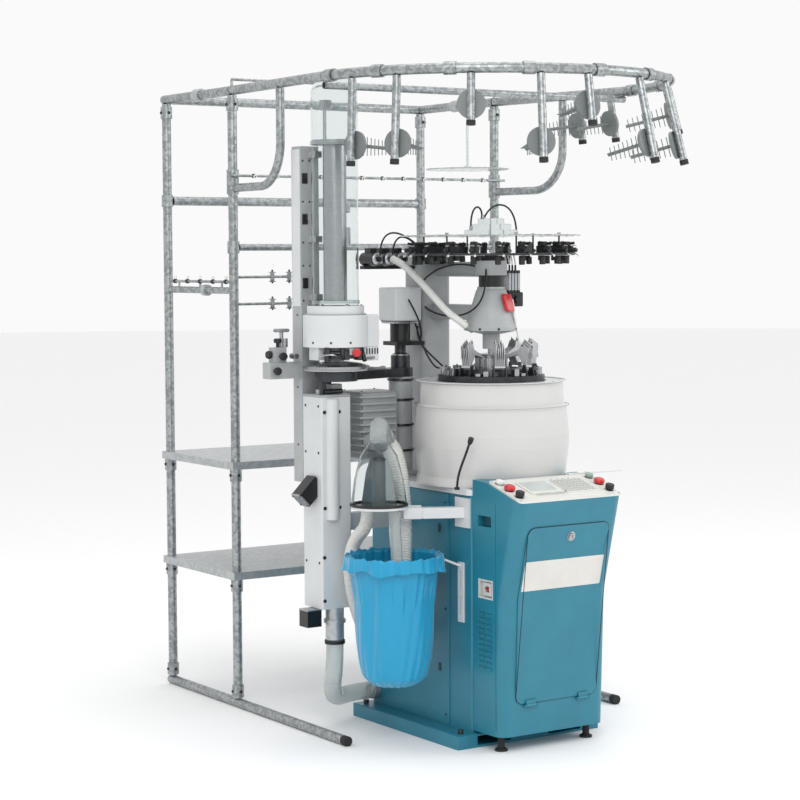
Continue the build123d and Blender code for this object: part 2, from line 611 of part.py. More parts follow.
def make_valve_unit():
    """The air valve block beside the head and the solenoids beside the pillar."""
    pillar_face = pillar_x - pillar_w / 2
    with BuildPart() as valves:
        block((72, -4, 1478), (128, 46, 1500))
        block((74.1, 10, 1462), (96, 34, 1478))
        for x in (76, 89, 102, 115):
            block((x, 0, 1500), (x + 10, 42, 1600))
            drum(3.5, 1600, 1618, x + 5, 21)
        block((-300, pillar_y - 14, 1606), (pillar_face, pillar_y + 14, 1618))
        for x in (-278, -226, -174):
            rod((x, pillar_y + 12, 1641), (x, pillar_y - 62, 1641), 46)
            rod((x, pillar_y - 62, 1641), (x, pillar_y - 84, 1641), 16)
    save(valves, "air_valves")


# ---------------------------------------------------------------- stand and creel
def make_stand_frame():
    """Posts, floor tubes and cross bars of the creel stand."""
    lift = tube_dia / 2
    with BuildPart() as stand:
        for x in (stand_left, stand_right):
            for y in (stand_front, stand_back):
                rod((x, y, foot_z + lift + run_gap), (x, y, top_z - lift - run_gap), tube_dia, tube_wall)
            rod((x, foot_front, foot_z), (x, stand_back + lift, foot_z), tube_dia, tube_wall)
            rod((x, stand_front, top_z), (x, stand_back + lift, top_z), tube_dia, tube_wall)
        inner_left, inner_right = stand_left + clamp_radius + run_gap, stand_right - clamp_radius - run_gap
        rod((stand_left + lift + run_gap, stand_back, top_z),
            (stand_right - lift - run_gap, stand_back, top_z), tube_dia, tube_wall)
        rod((inner_left, stand_back, cross_back_z), (inner_right, stand_back, cross_back_z), tube_dia, tube_wall)
        rod((inner_left, stand_front, cross_front_z), (inner_right, stand_front, cross_front_z), 25, tube_wall)
        rod((stand_left, stand_front + lift + run_gap, side_rail_z),
            (stand_left, stand_back - lift - run_gap, side_rail_z),
            25, tube_wall)
    save(stand, "stand_frame")


def make_creel_ring():
    """The open ring: two side tubes, a bent front in sleeved lengths and two bent braces."""
    step = 180 / arc_count
    with BuildPart() as ring:
        for side in (-1, 1):
            rod((side_tube_x(side, stand_front - 4), stand_front - 4, top_z),
                (side_tube_x(side, ring_y + 1.5), ring_y + 1.5, top_z), tube_dia, tube_wall)
        for index in range(arc_count):
            turn = 180 + step * index + joint_turn
            start = (ring_x + creel_radius * cos(radians(turn)), ring_y + creel_radius * sin(radians(turn)), top_z)
            tangent = (-sin(radians(turn)), cos(radians(turn)), 0)
            with BuildSketch(Plane(origin=start, z_dir=tangent)) as section:
                Circle(tube_dia / 2)
                Circle(tube_dia / 2 - tube_wall, mode=Mode.SUBTRACT)
            revolve(section.sketch, axis=Axis((ring_x, ring_y, 0), (0, 0, 1)), revolution_arc=step - 2 * joint_turn)
        for side, post in ((-1, stand_left), (1, stand_right)):
            x = side_tube_x(side, brace_y)
            hose(((x, brace_y, top_z - tube_dia / 2), (x, brace_y, brace_low),
                  (post, stand_front - clamp_radius - tube_gap, brace_low)), brace_dia, tube_wall)
    save(ring, "creel_ring")


def side_tube_x(side, y):
    """The x of a side tube of the creel ring at a given y."""
    post = stand_left if side < 0 else stand_right
    end = ring_x + side * creel_radius
    return post + (end - post) * (stand_front - y) / (stand_front - ring_y)


def make_rods():
    """The thin thread rods, the cross tube of the ring and their stand-offs."""
    x_left, x_right = side_tube_x(-1, cross_tube_y), side_tube_x(1, cross_tube_y)
    under = top_z - tube_dia / 2 - cross_tube_dia / 2 - run_gap
    with BuildPart() as rods:
        rod((x_left, cross_tube_y, under), (x_right, cross_tube_y, under), cross_tube_dia, tube_wall)
        rod((stand_left - 30, guide_rod_y, guide_rod_z), (stand_right + 30, guide_rod_y, guide_rod_z), thin_rod)
        rod((stand_left, stand_front, high_rod_z), (stand_right, stand_front, high_rod_z), thin_rod)
        for x in (stand_left, stand_right):
            rod((x, stand_front, top_z + tube_dia / 2), (x, stand_front, high_rod_z), thin_rod)
        upper = side_rail_z + 32
        rod((stand_left, stand_front + 30, upper), (stand_left, stand_back - 30, upper), thin_rod)
        for y in (stand_front + 90, (stand_front + stand_back) / 2, stand_back - 90):
            rod((stand_left, y, side_rail_z + 12.5), (stand_left, y, upper), 8)
        for x0, z in ((-560, 1578), (-560, 1480)):
            rod((stand_left + tube_dia / 2 + run_gap, stand_front, z), (x0 + 230, stand_front, z), thin_rod)
            for x in (x0 + 150, x0 + 222):
                rod((x, stand_front, z - 16), (x, stand_front, z + 16), 14)
    save(rods, "thread_rods")


def make_tube_clamps():
    """Clamps where tubes meet, collars under the shelves and sleeves on the bent ring."""
    hole = tube_dia / 2 + 0.2
    levels = {stand_front: [60, cross_front_z, brace_low, guide_rod_z, top_z - 50],
              stand_back: [60, cross_back_z, top_z - 50]}
    step = 180 / arc_count
    with BuildPart() as clamps:
        for x in (stand_left, stand_right):
            for y, heights in levels.items():
                for z in heights + [top - shelf_thick - clamp_length / 2 for top in shelf_tops]:
                    drum(clamp_radius, z - clamp_length / 2, z + clamp_length / 2, x, y)
                    drum(hole, z - clamp_length, z + clamp_length, x, y, mode=Mode.SUBTRACT)
        for index in range(arc_count + 1):
            turn = 180 + step * index
            if index in (0, arc_count):
                turn += end_sleeve_turn if index == 0 else -end_sleeve_turn
            turn = radians(turn)
            tangent = Vector(-sin(turn), cos(turn), 0)
            centre = Vector(ring_x + creel_radius * cos(turn), ring_y + creel_radius * sin(turn), top_z)
            with BuildSketch(Plane(origin=centre - tangent * sleeve_length / 2, z_dir=tangent)) as section:
                Circle(tube_dia / 2 + 4.5)
                Circle(tube_dia / 2 + 1.2, mode=Mode.SUBTRACT)
            extrude(section.sketch, amount=sleeve_length)
    save(clamps, "tube_clamps")


def make_shelves():
    """The two shelves between the posts."""
    r = tube_dia / 2 + 0.2
    with BuildPart() as shelves:
        for top in shelf_tops:
            block((stand_left - shelf_lap, stand_front - shelf_lap, top - shelf_thick),
                  (stand_right + shelf_lap, stand_back + shelf_lap, top))
            rim = shelf_lap + tube_dia
            block((stand_left + rim, stand_front - shelf_lap + shelf_skin, top - shelf_thick - 1),
                  (stand_right - rim, stand_back + shelf_lap - shelf_skin, top - shelf_skin), mode=Mode.SUBTRACT)
            for x in (stand_left, stand_right):
                for y in (stand_front, stand_back):
                    drum(r, top - shelf_thick - 1, top + 1, x, y, mode=Mode.SUBTRACT)
    save(shelves, "shelves")


# each drop tube: place on the ring (an angle on the arc, or a y on the right side), length, splay
drops = ((193, drop_long, 2), (209, drop_long, 4), (231, drop_short, 4), (251, drop_long, 6),
         (266, drop_short, 9), (287, drop_long, 13), (306, drop_long, 14), (328, drop_short, 14))
side_drops = ((190, drop_short, 10), (352, drop_short, 8))


def drop_frames():
    """For each drop tube: its top point, its outward and downward directions and its length."""
    frames = []
    for turn, length, splay in drops:
        angle = radians(turn)
        out = Vector(cos(angle), sin(angle), 0)
        top = Vector(ring_x, ring_y, top_z) + out * creel_radius
        frames.append((top, out, splay, length))
    for y, length, splay in side_drops:
        frames.append((Vector(side_tube_x(1, y), y, top_z), Vector(1, 0, 0), splay, length))
    placed = []
    for top, out, splay, length in frames:
        down = (Vector(0, 0, -1) * cos(radians(splay)) + out * sin(radians(splay))).normalized()
        placed.append((top + down * (tube_dia / 2 + 0.6), out, down, length))
    return placed


def make_drops():
    """Drop tubes, their end plugs, and the spiked pegs with their discs."""
    with BuildPart() as tubes:
        for top, out, down, length in drop_frames():
            rod(top, (top + down * length), drop_dia, tube_wall)
    save(tubes, "drop_tubes")
    with BuildPart() as plugs:
        for top, out, down, length in drop_frames():
            end = top + down * length
            rod(end, (end + down * 16), drop_dia + 3)
        for x in (stand_left, stand_right):
            rod((x, foot_front, foot_z), (x, foot_front - 26, foot_z), tube_dia)
    save(plugs, "end_plugs")
    with BuildPart() as pegs:
        for top, out, down, length in drop_frames():
            aim = peg_direction(out, down)
            seat = top + down * (length - 53) - out * (drop_dia / 2 + 1)
            rod(seat, seat + aim * peg_disc_thick, 2 * peg_disc_radius)
            root = seat + aim * peg_disc_thick
            rod(root, root + aim * peg_length, 2 * peg_radius)
            side = aim.cross(Vector(0, 0, 1)).normalized()
            rise = side.cross(aim).normalized()
            for index in range(spike_count):
                centre = root + aim * (16 + index * (peg_length - 26) / (spike_count - 1))
                reach = spike_reach - 1.6 * index
                for across in (side, rise):
                    rod(centre - across * reach, centre + across * reach, 3)
    save(pegs, "bobbin_pegs")


def peg_direction(out, down):
    """The way a peg points: inward, square to its drop tube."""
    return (-(out - down * out.dot(down))).normalized()


def make_guide_disc():
    """The clear thread guide disc and the rod that hangs it from the ring's cross tube."""
    hang = top_z - tube_dia / 2 - cross_tube_dia - 2 * run_gap
    with BuildPart() as disc:
        with BuildSketch(Plane.XY.offset(guide_disc_z)) as plate:
            with Locations((disc_x, cross_tube_y)):
                Circle(guide_disc_radius)
                with PolarLocations(guide_disc_radius - 18, 16):
                    Circle(4, mode=Mode.SUBTRACT)
        extrude(plate.sketch, amount=4)
        drum(5, guide_disc_z + 4, hang, disc_x, cross_tube_y)
        drum(14, guide_disc_z + 4, guide_disc_z + 14, disc_x, cross_tube_y)
    save(disc, "guide_disc")


# ---------------------------------------------------------------- toe-linking unit
def make_link_box():
    """The lower white housing with its half-round cover, and the bracket to the cabinet."""
    w = link_skin
    with BuildPart() as box:
        block((box_x0, box_y0, link_box_low), (box_x1, box_y1, link_box_top))
        fillet(box.edges().filter_by(Axis.Z), radius=5)
        drum(bump_radius, bump_low, bump_high, bump_x, box_y0)
        block((box_x0 + w, box_y0 + w, link_box_low + w), (box_x1 - w, box_y1 - w, link_box_top - w),
              mode=Mode.SUBTRACT)
        drum(bump_radius - w, bump_low + w, bump_high - w, bump_x, box_y0, mode=Mode.SUBTRACT)
        block((box_x1, 262, 700), (-cabinet_half - panel_thick, 300, 760))
        block((box_x1 + 10, 268, 690), (-cabinet_half - panel_thick - 10, 294, 754), mode=Mode.SUBTRACT)
    save(box, "link_box")


def make_link_column():
    """The upright behind the station with the ring table, and the column under the arm's pivot."""
    w = link_skin
    with BuildPart() as column:
        block((post_x0, post_y0, post_foot), (post_x1, post_y1, column_top))
        block((post_x0 + w, post_y0 + w, post_foot + w), (post_x1 - w, post_y1 - w, column_top - w),
              mode=Mode.SUBTRACT)
        block((station_x - 40, station_y + 80, table_low), (post_x1, post_y0, table_high))
        turned([(62, table_low), (table_radius, table_low), (table_radius, table_high), (62, table_high)],
               station_x, station_y)
        block((post_x0 - 125, post_y0 + 4, 1232), (post_x0, post_y1 - 4, 1288))
        block((post_x0 - 105, post_y0 + 12, 1288), (post_x0 - 55, post_y1 - 12, 1340))
        for z in (1500, 1700, 1990):
            block((post_x1 - 40, station_y + 60, z), (post_x1 - 8, post_y0, z + 22))
        drum(tube_radius + run_gap, flange_high, column_top, station_x, station_y, mode=Mode.SUBTRACT)
        pivot_top, bore = arm_plate_low - 1, pivot_shaft + bore_gap
        turned([(bore, bed_top), (pivot_radius + 16, bed_top), (pivot_radius + 16, bed_top + 14),
                (pivot_radius, bed_top + 20), (pivot_radius, pivot_top), (bore, pivot_top)], pivot_x, pivot_y)
    save(column, "link_column")


def make_link_head():
    """The sewing head over the ring: round at its left, square at its right."""
    with BuildPart() as head:
        with BuildSketch(Plane.XY.offset(head_low)) as outline:
            with Locations((station_x, station_y)):
                Circle(head_radius)
            with Locations((station_x + 70, station_y)):
                Rectangle(116, 150)
        extrude(outline.sketch, amount=head_high - head_low)
        fillet(head.faces().sort_by(Axis.Z)[-1].edges(), radius=6)
        block((station_x - 44, station_y + 90, head_low + 12), (station_x + 4, post_y0, head_high - 12))
        drum(flange_radius, head_high, flange_high, station_x, station_y)
        turned([(lift_bore, link_ring_high + 6), (lift_bore + 5, link_ring_high + 6), (58, 1322),
                (lift_bore + 5, 1330), (lift_bore + 5, head_low), (lift_bore, head_low)], station_x, station_y)
        for side in (-1, 1):
            block((station_x + side * 78 - 16, station_y - 40, 1300), (station_x + side * 78 + 16, station_y + 20,
                                                                      head_low))
        drum(lift_bore, link_ring_high, flange_high + 1, station_x, station_y, mode=Mode.SUBTRACT)
    save(head, "link_head")


def make_link_ring():
    """The toothed ring that carries the toe loops round under the sewing head."""
    with BuildPart() as ring:
        turned([(50, table_high + run_gap), (link_ring_radius, table_high + run_gap),
                (link_ring_radius, table_high + 8), (link_ring_radius - 30, link_ring_high - 4),
                (56, link_ring_high), (50, link_ring_high)], station_x, station_y)
        with BuildSketch(Plane.XY.offset(table_high)) as notches:
            with Locations((station_x, station_y)):
                with PolarLocations(link_ring_radius, 60):
                    Rectangle(5, 3)
        extrude(notches.sketch, amount=20, mode=Mode.SUBTRACT)
    save(ring, "link_ring")


def make_transfer_arm():
    """The arm that swings the sock from the cylinder to the linking station."""
    reach = Vector(station_x - pivot_x, station_y - pivot_y, 0)
    frame = Plane(origin=(pivot_x, pivot_y, arm_plate_low), x_dir=reach, z_dir=(0, 0, 1))
    length = reach.length
    with BuildPart() as arm:
        with BuildSketch(frame) as plate:
            Circle(44)
            with Locations((length, 0)):
                Circle(74)
            with BuildLine():
                Polyline((0, -38), (length - 40, -26), (length - 40, 26), (0, 38), close=True)
            make_face()
        extrude(plate.sketch, amount=arm_plate_high - arm_plate_low)
        with BuildSketch(frame.offset(-1)) as bore:
            with Locations((length, 0)):
                Circle(56)
        extrude(bore.sketch, amount=arm_plate_high - arm_plate_low + 2, mode=Mode.SUBTRACT)
        drum(pivot_shaft, arm_plate_low - 80, 1440, pivot_x, pivot_y)
        drum(34, arm_plate_high, 1300, pivot_x, pivot_y)
    save(arm, "transfer_arm")


def make_servo_motors():
    """The dial motor, the transfer arm's servo and the lower housing's two steppers."""
    face = pillar_x - pillar_w / 2
    with BuildPart() as motors:
        drum(head_motor_radius, cone_high, head_motor_top)
        turned([(head_motor_radius - 6, head_motor_top - 1), (head_motor_radius - 6, head_motor_top + 6),
                (22, head_motor_top + 6), (22, selector_low), (0, selector_low), (0, head_motor_top - 1)])
        block((pivot_x - 52, pivot_y - 52, 1420), (pivot_x + 52, pivot_y + 52, 1530))
        fillet(motors.edges().filter_by(Axis.Z).filter_by_position(Axis.Y, pivot_y - 60, pivot_y + 60), radius=10)
        drum(36, 1350, 1420, pivot_x, pivot_y)
        block((pivot_x - 44, pivot_y - 44, 1336), (face, pivot_y + 44, 1350))
        drum(pivot_shaft + bore_gap, 1330, 1445, pivot_x, pivot_y, mode=Mode.SUBTRACT)
        block((box_x0 - 46, 240, 378), (box_x0 + 10, 296, 434))
        block((box_x0 - 6, 246, 434), (box_x0 + 24, 290, link_box_low))
        tilt = Plane(origin=(box_x0, 272, 868), x_dir=(0, 1, 0), z_dir=(-1, 0, -1))
        with BuildSketch(tilt.offset(-16)) as body:
            Rectangle(56, 56)
        extrude(body.sketch, amount=90)
        block((box_x0, 230, 780), (box_x0 + 60, 314, 960), mode=Mode.SUBTRACT)
    save(motors, "servo_motors")


def make_link_tube():
    """The clear tube over the station with its domed top."""
    wall = tube_skin
    dome, shoulder, knob = 62, sin(radians(45)), 9
    with BuildPart() as tube:
        with BuildSketch(Plane(origin=(station_x, station_y, 0), x_dir=(1, 0, 0), z_dir=(0, -1, 0))) as profile:
            with BuildLine():
                Line((tube_radius - wall, flange_high), (tube_radius, flange_high))
                Line((tube_radius, flange_high), (tube_radius, tube_top))
                ThreePointArc((tube_radius, tube_top), (tube_radius * shoulder, tube_top + dome * shoulder),
                              (knob, tube_top + dome))
                Line((knob, tube_top + dome), (knob, tube_top + dome - wall))
                ThreePointArc((knob, tube_top + dome - wall),
                              ((tube_radius - wall) * shoulder, tube_top + (dome - wall) * shoulder),
                              (tube_radius - wall, tube_top))
                Line((tube_radius - wall, tube_top), (tube_radius - wall, flange_high))
            make_face()
        revolve(profile.sketch, axis=Axis((station_x, station_y, 0), (0, 0, 1)))
        drum(knob, tube_top + dome - wall - 3, tube_top + dome + 6, station_x, station_y)
    save(tube, "link_tube")


def make_lift_tube():
    """The grey tube that slides inside the clear one, with its rod and block."""
    piston = tube_radius - tube_skin - run_gap
    with BuildPart() as lift:
        turned([(lift_radius - 6, lift_low), (lift_radius, lift_low), (lift_radius, lift_high),
                (piston, lift_high), (piston, lift_high + 16), (lift_radius - 6, lift_high + 16)],
               station_x, station_y)
        drum(6, lift_high + 16, lift_high + 120, station_x - 38, station_y)
        block((station_x - 50, station_y - 14, lift_high + 120), (station_x - 20, station_y + 14, lift_high + 150))
    save(lift, "lift_tube")


def make_suction_fittings():
    """The grey pipe under the lower housing and the two rubber collars on the cabinet."""
    with BuildPart() as fittings:
        rod((station_x, station_y + 20, link_box_low), (station_x, station_y + 20, pipe_foot), 64, 3)
        drum(38, 388, 400, station_x, station_y + 20)
        drum(29, pipe_foot - 1, 430, station_x, station_y + 20, mode=Mode.SUBTRACT)
        for y, z in ((coupling_y, coupling_z), (upper_coupling_y, upper_coupling_z)):
            rod((-cabinet_half, y, z), (-cabinet_half - collar_length, y, z), 2 * coupling_radius, coupling_wall)
    save(fittings, "suction_fittings")


def make_blower():
    """The finned air unit beside the drum, with its foot on the bed."""
    x0, x1, y0, y1, low, high = -386, -232, 232, 392, 950, 1176
    with BuildPart() as blower:
        block((x0, y0, low), (x1, y1, high))
        fillet(blower.edges().filter_by(Axis.Z), radius=16)
        block((x1 - 34, y0 + 90, bed_top), (x1 + 6, y1 - 20, low))
        for z in range(low + 20, high - 10, 24):
            block((x0 - 14, y0 - 14, z), (x1 - 20, y1 - 20, z + 6))
        rod((nozzle_x, y0 - 13, nozzle_z), (nozzle_x, nozzle_y, nozzle_z), 60)
        block((x0 + 4, y0 + 4, low + 4), (x1 - 4, y1 - 4, high - 4), mode=Mode.SUBTRACT)
    save(blower, "air_unit")


def make_bell():
    """The clear bell, its dark inner tube and the base plate under it."""
    low, high, r = bell_low + 8, bell_high, bell_radius
    with BuildPart() as bell:
        turned([(r, low), (r, low + 20), (r - 10, low + 90), (r - 30, low + 170), (26, high - 12), (26, high),
                (22, high), (22, high - 14), (r - 34, low + 168), (r - 13, low + 90), (r - 3, low + 20),
                (r - 3, low)], bell_x, bell_y)
    save(bell, "sock_bell")


def make_bell_bracket():
    """The white beam from the cabinet's front left corner, with the bell's base and inner tube."""
    end = (-cabinet_half, -150)
    with BuildPart() as beam:
        direction = Vector(bell_x - end[0], bell_y - end[1], 0)
        frame = Plane(origin=(end[0], end[1], bell_low - 36), x_dir=direction, z_dir=(0, 0, 1))
        with BuildSketch(frame) as foot:
            Rectangle(140, 34, align=(Align.MIN, Align.CENTER))
            Rectangle(205, 26, align=(Align.MIN, Align.CENTER))
        extrude(foot.sketch, amount=36)
        block((-cabinet_half, -192, 700), (-cabinet_half + 60, 0, 900), mode=Mode.SUBTRACT)
        block((-cabinet_half - 8, -190, 740), (-cabinet_half, -110, 840))
        drum(bell_radius + 2, bell_low, bell_low + 8, bell_x, bell_y)
        drum(20, bell_low, bell_low + 158, bell_x, bell_y)
        drum(14, bell_low - 1, bell_low + 160, bell_x, bell_y, mode=Mode.SUBTRACT)
    save(beam, "bell_bracket")


def make_bag():
    """The collecting bag: a tapered cloth tub, open at the top."""
    w = bag_wall
    with BuildPart() as bag:
        turned([(0, bag_low), (bag_radius - 14, bag_low), (bag_radius - 4, bag_low + 20), (bag_radius, bag_high),
                (bag_radius - w, bag_high), (bag_radius - 4 - w, bag_low + 22), (bag_radius - 16 - w, bag_low + w),
                (0, bag_low + w)], bag_x, bag_y)
    save(bag, "collecting_bag")


def make_bag_holder():
    """The wire hoop of the bag, its arm and the slotted strip on the cabinet."""
    face = -cabinet_half
    with BuildPart() as holder:
        with BuildSketch(Plane(origin=(bag_x + bag_ring_radius, bag_y, bag_ring_z), z_dir=(0, 1, 0))) as wire:
            Circle(bag_wire)
        revolve(wire.sketch, axis=Axis((bag_x, bag_y, 0), (0, 0, 1)))
        block((face - holder_thick, holder_y - holder_width / 2, holder_low),
              (face, holder_y + holder_width / 2, holder_high))
        for z in (holder_low + 55, holder_high - 60):
            block((face - holder_thick - 1, holder_y - 4, z - 30), (face + 1, holder_y + 4, z + 30),
                  mode=Mode.SUBTRACT)
        start = (face - holder_thick + 1, holder_y, holder_high - 12)
        turn = atan2(holder_y - bag_y, start[0] - bag_x)
        rim = (bag_x + bag_ring_radius * cos(turn), bag_y + bag_ring_radius * sin(turn), bag_ring_z)
        rod(start, rim, 8)
    save(holder, "bag_holder")


def make_hoses():
    """The hoses: air to the head, sock hoses to the bag, suction hoses to the cabinet."""
    with BuildPart() as air:
        hose(air_route, 25, 3)
    save(air, "air_hose")
    with BuildPart() as sock_hoses:
        hose(wide_route, 66, 4)
        hose(clear_route, 40, 3)
    save(sock_hoses, "sock_hoses")
    with BuildPart() as suction_hoses:
        hose(suction_route, 46, 3)
        hose(floor_route, 62, 4)
    save(suction_hoses, "suction_hoses")


# ---- values worked out from the sizes above ----
slope = atan2(panel_back_z - panel_front_z, panel_back_y - lip_y)
panel_plane = Plane(origin=(0, (panel_back_y + lip_y) / 2, (panel_back_z + panel_front_z) / 2),
                    x_dir=(1, 0, 0), z_dir=(0, -sin(slope), cos(slope)))
hinge_y, hinge_z = front_y(door_low) - hinge_out, door_low - hinge_drop
door_slope = atan2(lip_y - knee_y, panel_front_z - knee_z)
lock_normal = (0, -cos(door_slope), sin(door_slope))
lock_plane = Plane(origin=(lock_x, front_y(lock_z) - (face_gap + door_thick), lock_z),
                   x_dir=(1, 0, 0), z_dir=lock_normal)

spigot_way = (Vector(*spigot_end) - Vector(*spigot_root)).normalized()
air_route = ((-226, 275.5, 1641), (-222, 225, 1628), (-203, 150, 1572), (-180, 85, 1508), (-160, 30, 1456),
             tuple(Vector(*spigot_end) + spigot_way * 30), tuple(Vector(*spigot_end) + spigot_way * 0.5))
wide_route = ((nozzle_x, nozzle_y - 0.5, nozzle_z), (nozzle_x, 92, nozzle_z), (-350, 60, 930), (-351, 42, 850),
              (-364, 8, 730), (-392, -24, 600))
clear_route = ((-446, -62, bell_low - 0.4), (-446, -62, 745), (-450, -80, 670), (-456, -92, 600))
guide_rod_y = stand_front - clamp_radius - thin_rod / 2 - run_gap
collar_face = -cabinet_half - collar_length - 0.5
suction_route = ((-480, 48, bell_low - 0.4), (-480, 48, 745), (-482, 128, 690), (-482, 168, 615), (-468, 180, 515),
                 (-428, 196, 405), (-345, upper_coupling_y, upper_coupling_z),
                 (collar_face, upper_coupling_y, upper_coupling_z))
floor_route = ((station_x, station_y + 20, pipe_foot - 0.5), (station_x, station_y + 20, 240),
               (-484, 284, 150), (-430, 350, coupling_z), (-340, coupling_y, coupling_z),
               (collar_face, coupling_y, coupling_z))

make_base_plate()
make_cabinet_shell()
make_side_panels()
make_bed_plate()
make_main_motor()
make_motor_pulley()
make_drive_belt()
make_control_box()
make_control_door()
make_door_lock()
make_operator_panel()
for side_name, side in (("left", -1), ("right", 1)):
    make_button(f"start_button_{side_name}", side, 0, 14, 7, False)
    make_button(f"stop_button_{side_name}", side, 1, 19, 12, True)
    make_button(f"jog_button_{side_name}", side, 2, 15, 14, False)
make_breaker()
make_drum_cover()
make_drum_ring()
make_cam_housing()
make_needle_cylinder()
make_dial()
for feeder_number, feeder_angle in enumerate(feeder_angles, start=1):
    make_yarn_feeder(feeder_number, feeder_angle)
make_head_pillar()
make_selector_ring()
make_yarn_devices()
make_yarn_disc()
make_valve_unit()
make_stand_frame()
make_creel_ring()
make_rods()
make_tube_clamps()
make_shelves()
make_drops()
make_guide_disc()
make_link_box()
make_link_column()
make_link_head()
make_link_ring()
make_transfer_arm()
make_servo_motors()
make_link_tube()
make_lift_tube()
make_suction_fittings()
make_blower()
make_bell()
make_bell_bracket()
make_bag()
make_bag_holder()
make_hoses()
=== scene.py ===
"""Sock knitting machine with a toe-linking unit and a creel: soft pieces, details, finishes, stage."""
import math

import bmesh
import bpy
import numpy as np
from mathutils import Matrix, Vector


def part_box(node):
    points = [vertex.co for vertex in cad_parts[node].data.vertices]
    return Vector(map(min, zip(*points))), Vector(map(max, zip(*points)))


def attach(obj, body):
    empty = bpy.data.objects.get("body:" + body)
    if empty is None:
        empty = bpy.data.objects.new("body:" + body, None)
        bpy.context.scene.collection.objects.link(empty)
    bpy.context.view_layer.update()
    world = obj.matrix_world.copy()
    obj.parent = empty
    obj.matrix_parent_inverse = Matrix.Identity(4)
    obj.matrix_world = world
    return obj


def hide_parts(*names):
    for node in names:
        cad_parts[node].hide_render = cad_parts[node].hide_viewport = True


bl_info = {
    "name": "Sock Knitting Machine",
    "version": (1, 0, 0),
    "blender": (4, 5, 0),
    "location": "View3D > Sidebar > Knitting",
    "description": "Builds the looks of a sock knitting machine round its CAD frame",
    "category": "Object",
}

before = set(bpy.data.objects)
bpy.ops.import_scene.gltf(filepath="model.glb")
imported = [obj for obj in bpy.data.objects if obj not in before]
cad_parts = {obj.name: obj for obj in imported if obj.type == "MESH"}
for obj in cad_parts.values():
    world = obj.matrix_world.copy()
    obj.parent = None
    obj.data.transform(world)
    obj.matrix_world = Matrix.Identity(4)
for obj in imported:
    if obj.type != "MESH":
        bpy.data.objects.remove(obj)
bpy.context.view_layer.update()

# ---- colours and sizes that a user would change ----


class KnitFinishes(bpy.types.PropertyGroup):
    teal: bpy.props.StringProperty(name="Teal enamel", description="Colour of the cabinet and door",
                                   default="#20798F")
    white: bpy.props.StringProperty(name="White enamel", description="Colour of the covers",
                                    default="#CDD0D1")
    bag: bpy.props.StringProperty(name="Bag nylon", description="Colour of the collecting bag",
                                  default="#0092BE")
    zinc: bpy.props.StringProperty(name="Zinc", description="Colour of the galvanised tubes",
                                   default="#A9ADAE")
    red: bpy.props.StringProperty(name="Red plastic", description="Colour of the stop buttons",
                                  default="#C8202A")


class KnitHoses(bpy.types.PropertyGroup):
    wide: bpy.props.FloatProperty(name="Wide hose", description="Outer diameter", default=0.066,
                                  unit="LENGTH")
    clear: bpy.props.FloatProperty(name="Clear hose", description="Outer diameter", default=0.040,
                                   unit="LENGTH")
    suction: bpy.props.FloatProperty(name="Suction hose", description="Outer diameter", default=0.046,
                                     unit="LENGTH")
    floor: bpy.props.FloatProperty(name="Floor hose", description="Outer diameter", default=0.062,
                                   unit="LENGTH")
    air: bpy.props.FloatProperty(name="Air hose", description="Outer diameter", default=0.025,
                                 unit="LENGTH")
    pitch: bpy.props.FloatProperty(name="Rib pitch", description="Distance between ribs", default=0.008,
                                   unit="LENGTH")


class KnitBag(bpy.types.PropertyGroup):
    fullness: bpy.props.FloatProperty(name="Fullness", description="Cloth gathered at the hoop",
                                      default=1.14, min=1.0)
    hem: bpy.props.FloatProperty(name="Hem", description="Width of the gathered hem", default=0.04,
                                 unit="LENGTH")


class KnitStage(bpy.types.PropertyGroup):
    key: bpy.props.FloatProperty(name="Key light", description="Power of the large light", default=130,
                                 unit="POWER")
    fill: bpy.props.FloatProperty(name="Fill light", description="Power of the side light", default=62,
                                  unit="POWER")


def settings(group):
    """The values of one property group of the scene."""
    return getattr(bpy.context.scene, group)


# ---- shapes: arrays of points on a grid ----


def grid_quads(rows, cols, wrap_rows=False, wrap_cols=False):
    """Quads between neighbouring grid points, joined round where a direction wraps."""
    r = np.arange(rows if wrap_rows else rows - 1)
    c = np.arange(cols if wrap_cols else cols - 1)
    a, b = np.meshgrid(r, c, indexing="ij")
    a2, b2 = (a + 1) % rows, (b + 1) % cols
    quads = np.stack([a * cols + b, a * cols + b2, a2 * cols + b2, a2 * cols + b], axis=-1)
    return quads.reshape(-1, 4)


def unit(vectors):
    """Vectors divided by their lengths."""
    vectors = np.asarray(vectors, float)
    return vectors / np.linalg.norm(vectors, axis=-1, keepdims=True)


def lathe(profile, at=(0, 0, 0), axis=(0, 0, 1), count=48, closed=False):
    """Point = at + axis * height + radius * (cos t, sin t) in the plane square to the axis."""
    profile = np.asarray(profile, float)
    axis = unit(axis)
    side = unit(np.cross(axis, (0, 1, 0) if abs(axis[1]) < 0.9 else (1, 0, 0)))
    other = np.cross(axis, side)
    t = np.linspace(0, 2 * np.pi, count, endpoint=False)
    ring = np.outer(np.cos(t), side) + np.outer(np.sin(t), other)
    points = profile[:, None, 1:2] * axis + profile[:, None, 0:1] * ring[None]
    faces = grid_quads(len(profile), count, wrap_rows=closed, wrap_cols=True)
    return points.reshape(-1, 3) + np.asarray(at, float), faces.tolist()


